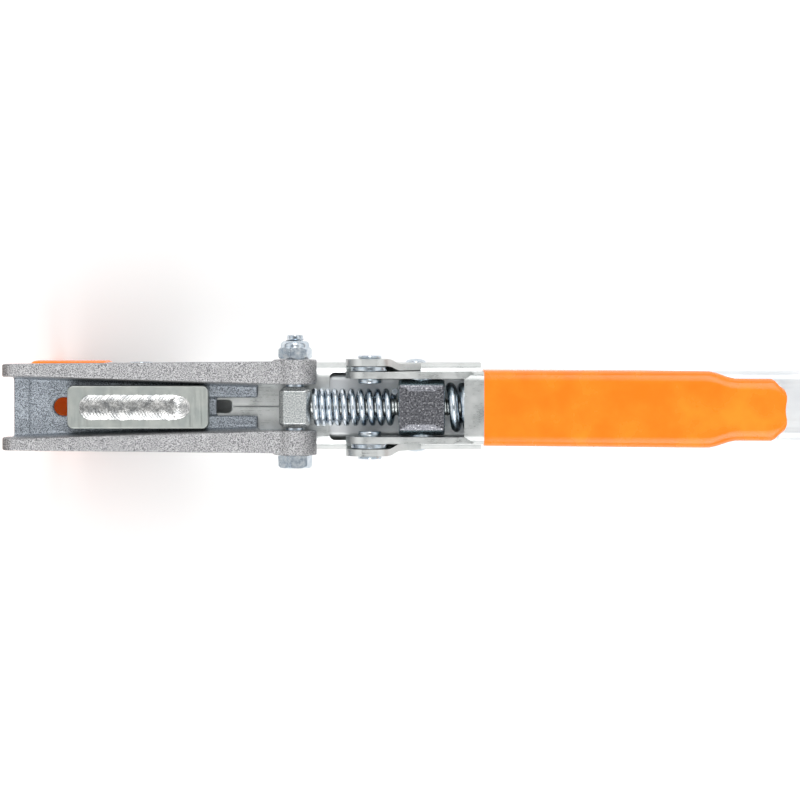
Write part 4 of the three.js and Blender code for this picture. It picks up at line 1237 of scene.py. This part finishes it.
def plated_forging():
    """Zinc on a blasted forging: pale, with a speckle of grains half a millimetre across."""
    material, here = start_finish("plated_forging")
    grain = add_node(
        material, "ShaderNodeTexNoise", {"Vector": here, "Scale": 1 / (0.5 * MM), "Detail": 4.0},
    )
    colour = add_node(
        material, "ShaderNodeValToRGB", {"Fac": grain.outputs["Fac"]},
        [(0.38, "#8F969A"), (0.5, "#BCC0C0"), (0.64, "#DFE1DE")],
    )
    roughness = add_node(
        material, "ShaderNodeMapRange", {"Value": grain.outputs["Fac"], "To Min": 0.2, "To Max": 0.5},
    )
    return end_finish(
        material, colour.outputs["Color"], roughness.outputs["Result"], grain.outputs["Fac"], 0.07 * MM,
    )


fit(eye, plated_forging(), "rod", "bright_zinc", "eye_rod")

low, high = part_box("return_spring")
thin = coil(
    "thin_spring", (low.x, 0, BOLT.z), high.x - low.x, *RETURN_SPRING, RETURN_FIRST, RETURN_MIDDLE,
)
fit(thin, bright_blue, "rod", "blue_zinc", "return_spring")
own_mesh(thin)

low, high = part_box("heavy_spring")
heavy = coil(
    "heavy_wire_spring", (low.x, 0, BOLT.z), high.x - low.x, *HEAVY_SPRING, HEAVY_FIRST,
    HEAVY_MIDDLE, HEAVY_LAST,
)
fit(heavy, bright_blue, None, "blue_zinc", "heavy_spring")
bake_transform(heavy)

low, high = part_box("spring_seat")
seat = ring("spring_washer", 4.2 * MM, (high.z - low.z) / 2, (low.x, 0, BOLT.z), (high.x, 0, BOLT.z))
ease(seat, 0.35 * MM, 60)
shade(seat)
fit(seat, bright_blue, "seat", "bright_zinc", "spring_seat")


def along_the_rod(piece, x):
    """Turns a nut made at the origin along +Y to open along +X on the rod."""
    piece.matrix_world = Matrix.Translation((x, 0, BOLT.z)) @ Matrix.Rotation(-math.pi / 2, 4, "Z")
    alone(piece)
    bpy.ops.object.transform_apply(location=True, rotation=True, scale=True)
    return piece


low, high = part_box("adjusting_nut")
adjuster = along_the_rod(lock_nut("adjusting_lock_nut", (0, 0, 0)), low.x)
fit(adjuster, bright_blue, "nut", "blue_zinc", "adjusting_nut")
low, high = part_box("adjusting_nut_ring")
adjuster_ring = ring(
    "adjusting_nylon_ring", THREAD / 2 - 0.2 * MM, (high.z - low.z) / 2, (low.x, 0, BOLT.z),
    (high.x, 0, BOLT.z),
)
ease(adjuster_ring, 0.2 * MM, 60)
shade(adjuster_ring)
fit(adjuster_ring, milky, "nut", "nylon", "adjusting_nut_ring")


# ---- Trunnion block and its pins -----------------------------------------------------------------
# A forged steel block with a soft-edged top, polished dark by wear, whose rim and sides carry
#  a painted highlight in pale blue-grey. The rod slides through it, and it turns on two pins in the lever's
#  plates.

SHOULDER = 2.1 * MM  # how far the top stands in from the block's sides
SHOULDER_DEPTH = 4.5 * MM
TOP_RIM = 1.6 * MM
TOP_DISH = 0.15 * MM
BORE = 4.3 * MM
BORE_ROOM = 1.9 * MM  # how much lower the bore's second centre is, so that the rod can tilt


def worn_block_with_rim_highlight(top):
    """Worn, blued steel: a dark grey gloss on the top, rubbed bright in places and
    pitted with specks half a millimetre wide, with a pale blue-grey painted highlight on the rim and sides."""
    material, here = start_finish("worn_steel_and_rim_highlight")
    specks = add_node(
        material, "ShaderNodeTexNoise",
        {"Vector": here, "Scale": 1 / (0.8 * MM), "Detail": 6.0, "Roughness": 0.7},
    )
    worn = add_node(
        material, "ShaderNodeValToRGB", {"Fac": specks.outputs["Fac"]},
        [(0.36, "#55565B"), (0.52, "#77787E"), (0.6, "#97989D"), (0.66, "#E4E4E6")],
    )
    # Painted highlight: the rounded rim and the sides, below the top's face, get a pale blue-grey.
    place = add_node(material, "ShaderNodeSeparateXYZ", {"Vector": here})
    top_not_rim_highlight = add_node(
        material, "ShaderNodeMapRange",
        {"Value": place.outputs["Z"], "From Min": top - 0.75 * MM, "From Max": top - 0.3 * MM},
    )
    colour = add_node(
        material, "ShaderNodeMix",
        {"Factor": top_not_rim_highlight.outputs["Result"], "A": linear("#A9B9BF"), "B": worn.outputs["Color"]},
        data_type="RGBA",
    )
    roughness = add_node(
        material, "ShaderNodeMapRange", {"Value": specks.outputs["Fac"], "To Min": 0.12, "To Max": 0.42},
    )
    return end_finish(
        material, colour.outputs["Result"], roughness.outputs["Result"], specks.outputs["Fac"], 0.05 * MM,
    )


low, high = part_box("trunnion_block")
centre = (low + high) / 2
block = bar("block", low, high)
choose(block, "EDGE", lambda middle, along: abs(along.x) > 0.9)
bpy.ops.mesh.bevel(offset=SHOULDER, segments=1, affect="EDGES")
close()
for upper in (True, False):
    sign = 1 if upper else -1
    choose(
        block, "VERT",
        lambda at, normal: abs(at.y - centre.y) > (high.y - low.y) / 2 - MM / 10
        and (at.z - centre.z) * sign > 0,
    )
    bpy.ops.transform.translate(value=(0, 0, -sign * (SHOULDER_DEPTH - SHOULDER)))
    close()
ease(block, 1.1 * MM, 20, 4)
for sign in (1, -1):
    choose(block, "FACE", lambda middle, normal: normal.z * sign > 0.99)
    bpy.ops.mesh.inset(thickness=TOP_RIM)
    bpy.ops.transform.translate(value=(0, 0, -sign * TOP_DISH))
    close()
bore = wrap(
    "bore",
    round_bar("bore_top", BORE, (low.x - MM, 0, centre.z), (high.x + MM, 0, centre.z)),
    round_bar(
        "bore_low", BORE, (low.x - MM, 0, centre.z - BORE_ROOM), (high.x + MM, 0, centre.z - BORE_ROOM),
    ),
)
cut(block, bore)
shade(block, 40)
fit(block, worn_block_with_rim_highlight(high.z), "block", "dark_steel", "trunnion_block")
for name in ("left", "right"):
    low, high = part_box(f"trunnion_pin_{name}")
    middle = (low + high) / 2
    trunnion = round_bar(
        f"block_pin_{name}", (high.x - low.x) / 2, (middle.x, low.y, middle.z),
        (middle.x, high.y, middle.z),
    )
    ease(trunnion, 0.5 * MM, 60)
    shade(trunnion)
    fit(trunnion, bright_blue, "block", "blue_zinc", f"trunnion_pin_{name}")


# ---- Lever: folded channel and dipped grip -------------------------------------------------------
# A channel folded from 2.9 mm zinc-plated sheet. Its plates run on as two round-ended arms to the
# pivot. Towards the tip its skirts run out and it is drawn in to a tongue. The handle end is dipped
# in the same orange vinyl as the fixed jaw.

LEVER_SHEET = 2.9 * MM
LEVER_FOLD = 3.9 * MM
WEB_LEFT = 40.4 * MM
WEB_TOP = 62.4 * MM
LEVER_SLOPE = math.tan(math.radians(11))
LEVER_SKIRT = 20 * MM
LEVER_KNEE = 44 * MM
TAPER_START = 110 * MM
NECK_START = 142 * MM
NECK_END = 155 * MM
NECK_HALF = 12.3 * MM
TIP_ROUND = 5 * MM
LOBE = 10.4 * MM
NOTCH = Vector((3, 3, 4)) * MM  # half sizes of the cuts at the web's corners
NOTCH_LEAN = 12  # degrees more or less than a half right angle
COATING = 0.75 * MM
COATING_WALL = 0.7 * MM
TIP_LOBES = 8 * MM  # how much of the tip the dip's scallops reach along
TIP_STRIP = 1.9 * MM
lever_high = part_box("lever_channel")[1]
grip_low, grip_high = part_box("lever_grip")


def smoothly(value, start, end):
    """From 0 to 1 between two places, with no corner at either."""
    share = min(1, max(0, (value - start) / (end - start)))
    return share * share * (3 - 2 * share)


def web_top(x):
    """The height of the web's top, which rises towards the tip."""
    return WEB_TOP + (x - WEB_LEFT) * LEVER_SLOPE


def skirt_low(x):
    """The skirts' lower edge: level to the knee, then rising, and running out into the tongue."""
    tip = web_top(lever_high.x) - LEVER_SKIRT
    share = max(0, (x - LEVER_KNEE) / (lever_high.x - LEVER_KNEE))
    straight = PIVOT.z - LOBE + (tip - PIVOT.z + LOBE) * share
    rim_z = web_top(x) - LEVER_FOLD - 0.3 * MM
    return straight + (rim_z - straight) * smoothly(x, TAPER_START, NECK_START)


def lever_half(x):
    """Half the channel's width: straight, then drawn in to a neck with a round tip."""
    half = lever_high.y + (NECK_HALF - lever_high.y) * smoothly(x, NECK_START, NECK_END)
    into = max(0, x - (lever_high.x - TIP_ROUND)) / TIP_ROUND
    return half - TIP_ROUND * (1 - math.sqrt(max(0, 1 - into * into))) * 0.8


def channel(name, start, end, grow, wall):
    """The folded channel between two places, its outside moved out by grow, with a wall."""
    made = bar(name, (start, -1, 0), (end, 1, 1))
    steps = 48
    for step in range(1, steps):
        choose(made, "FACE", lambda middle, normal: True)
        bpy.ops.mesh.bisect(plane_co=(start + (end - start) * step / steps, 0, 0), plane_no=(1, 0, 0))
        close()
    alone(made)
    for vert in made.data.vertices:
        x = min(vert.co.x, lever_high.x)
        vert.co.y = math.copysign(lever_half(x) + grow, vert.co.y)
        vert.co.z = web_top(vert.co.x) + grow if vert.co.z > 0.5 else skirt_low(x) - grow
    choose(
        made, "EDGE",
        lambda at, along: abs(along.x) > 0.5 and at.z > web_top(min(at.x, lever_high.x)) - MM,
    )
    bpy.ops.mesh.bevel(offset=LEVER_FOLD + grow, segments=6, affect="EDGES")
    close()
    choose(
        made, "FACE",
        lambda middle, normal: normal.z < -0.5 or normal.x < -0.9 or (normal.x > 0.9 and grow == 0),
    )
    bpy.ops.mesh.delete(type="FACE")
    close()
    work(made, "SOLIDIFY", thickness=wall, offset=-1, use_even_offset=True)
    return made


lever = channel("lever", WEB_LEFT, lever_high.x, 0.0, LEVER_SHEET)
plates_in = lever_high.y - LEVER_SHEET
for side in (-1, 1):
    low_y, high_y = sorted((side * (lever_high.y - 0.01 * MM), side * (plates_in + 0.01 * MM)))
    plate = wrap(
        "plate",
        round_bar("lobe", LOBE, (0, low_y, PIVOT.z), (0, high_y, PIVOT.z), 96),
        bar(
            "arm_end", (WEB_LEFT + 3 * MM, low_y, PIVOT.z - LOBE),
            (WEB_LEFT + 4 * MM, high_y, web_top(WEB_LEFT) - 0.4 * MM),
        ),
    )
    join_solid(lever, plate)
for side in (-1, 1):
    corner = Vector((WEB_LEFT - 0.5 * MM, side * lever_high.y, web_top(WEB_LEFT)))
    notch = bar("notch", corner - NOTCH, corner + NOTCH)
    choose(notch, "FACE", lambda middle, normal: True)
    lean = math.radians(45 + side * NOTCH_LEAN)
    bpy.ops.transform.rotate(value=lean, orient_axis="Z", center_override=corner)
    close()
    cut(lever, notch)
ease(lever, 0.35 * MM, 50)
shade(lever, 30)
fit(lever, sheet_zinc, "lever", "bright_zinc", "lever_channel")

grip = channel("grip", grip_low.x, grip_high.x - 0.2 * MM, COATING, COATING_WALL)
for step in range(-6, 7):
    choose(grip, "FACE", lambda middle, normal: middle.x > grip_high.x - TIP_LOBES)
    bpy.ops.mesh.bisect(plane_co=(0, step * TIP_STRIP, 0), plane_no=(0, 1, 0))
    close()
for vert in grip.data.vertices:
    near_tip = smoothly(vert.co.x, grip_high.x - TIP_LOBES, grip_high.x)
    across = abs(vert.co.y) / NECK_HALF
    lobes = 0.35 * math.cos(across * 2 * math.pi * 1.1) + 0.35 + 2.4 * across ** 4
    vert.co.x -= near_tip * lobes * MM
work(grip, "BEVEL", width=0.3 * MM, segments=2, limit_method="ANGLE", angle_limit=math.radians(50))
shade(grip, 60)
fit(grip, vinyl, "lever", "orange_vinyl", "lever_grip")


# ---- Camera, light and floor ---------------------------------------------------------------------
# The object lies on a plain white floor and is seen from straight above, a little from its +Y
# side. The light is a pale room with two long soft boxes, one on each side.

AIM = Vector((13, 3, 45)) * MM
CAMERA_AWAY = 1.3
CAMERA_TILT = math.radians(-1.7)
VIEW_WIDTH = 0.3456  # seen across the picture at the object
FLOOR_DROP = 0.3 * MM
BOX_AWAY = Vector((0, 0.9, 0.95))
BOX_SIZE = (1.6, 0.5)
BOX_POWERS = {1: 7.0, -1: 8.0}  # by side, in watts


def white_floor():
    """Matt white floor paint with a very faint unevenness."""
    material, here = start_finish("white_floor")
    cloud = add_node(material, "ShaderNodeTexNoise", {"Vector": here, "Scale": 4.0, "Detail": 2.0})
    colour = add_node(
        material, "ShaderNodeValToRGB", {"Fac": cloud.outputs["Fac"]},
        [(0.3, "#FCFCFC"), (0.7, "#FDFDFD")],
    )
    return end_finish(
        material, colour.outputs["Color"], 0.9, cloud.outputs["Fac"], 0.01 * MM, metallic=0.0,
    )


bpy.ops.mesh.primitive_plane_add(size=14, location=(0, 0, cad_box[0][2] - FLOOR_DROP))
floor = settle("floor")
floor.data.materials.append(white_floor())

for side, power in BOX_POWERS.items():
    away = Vector((0, side * BOX_AWAY.y, BOX_AWAY.z))
    bpy.ops.object.light_add(type="AREA", location=AIM + away)
    box = bpy.context.active_object
    box.name = "soft_box"
    box.rotation_euler = away.to_track_quat("Z", "X").to_euler()
    box.data.shape = "RECTANGLE"
    box.data.size, box.data.size_y = BOX_SIZE
    box.data.energy = power

world = bpy.data.worlds.new("pale_room")
world.use_nodes = True
world.node_tree.nodes.clear()
bpy.context.scene.world = world
direction = add_node(world, "ShaderNodeTexCoord").outputs["Generated"]
height = add_node(world, "ShaderNodeSeparateXYZ", {"Vector": direction})
shade_of_sky = add_node(
    world, "ShaderNodeValToRGB", {"Fac": height.outputs["Z"]},
    [(0.0, "#7C7C7C"), (0.35, "#F0F0F0"), (0.75, "#FFFFFF"), (0.9, "#B4B4B4"), (1.0, "#8C8C8C")],
)
sky = add_node(
    world, "ShaderNodeBackground", {"Color": shade_of_sky.outputs["Color"], "Strength": 1.16},
)
add_node(world, "ShaderNodeOutputWorld", {"Surface": sky.outputs["Background"]})

away = Vector((0, -math.sin(CAMERA_TILT), math.cos(CAMERA_TILT)))
bpy.ops.object.camera_add(location=AIM + away * CAMERA_AWAY, rotation=(CAMERA_TILT, 0, 0))
camera = bpy.context.active_object
camera.data.lens = camera.data.sensor_width * CAMERA_AWAY / VIEW_WIDTH
bpy.context.scene.camera = camera
bpy.context.scene.view_settings.view_transform = "Standard"
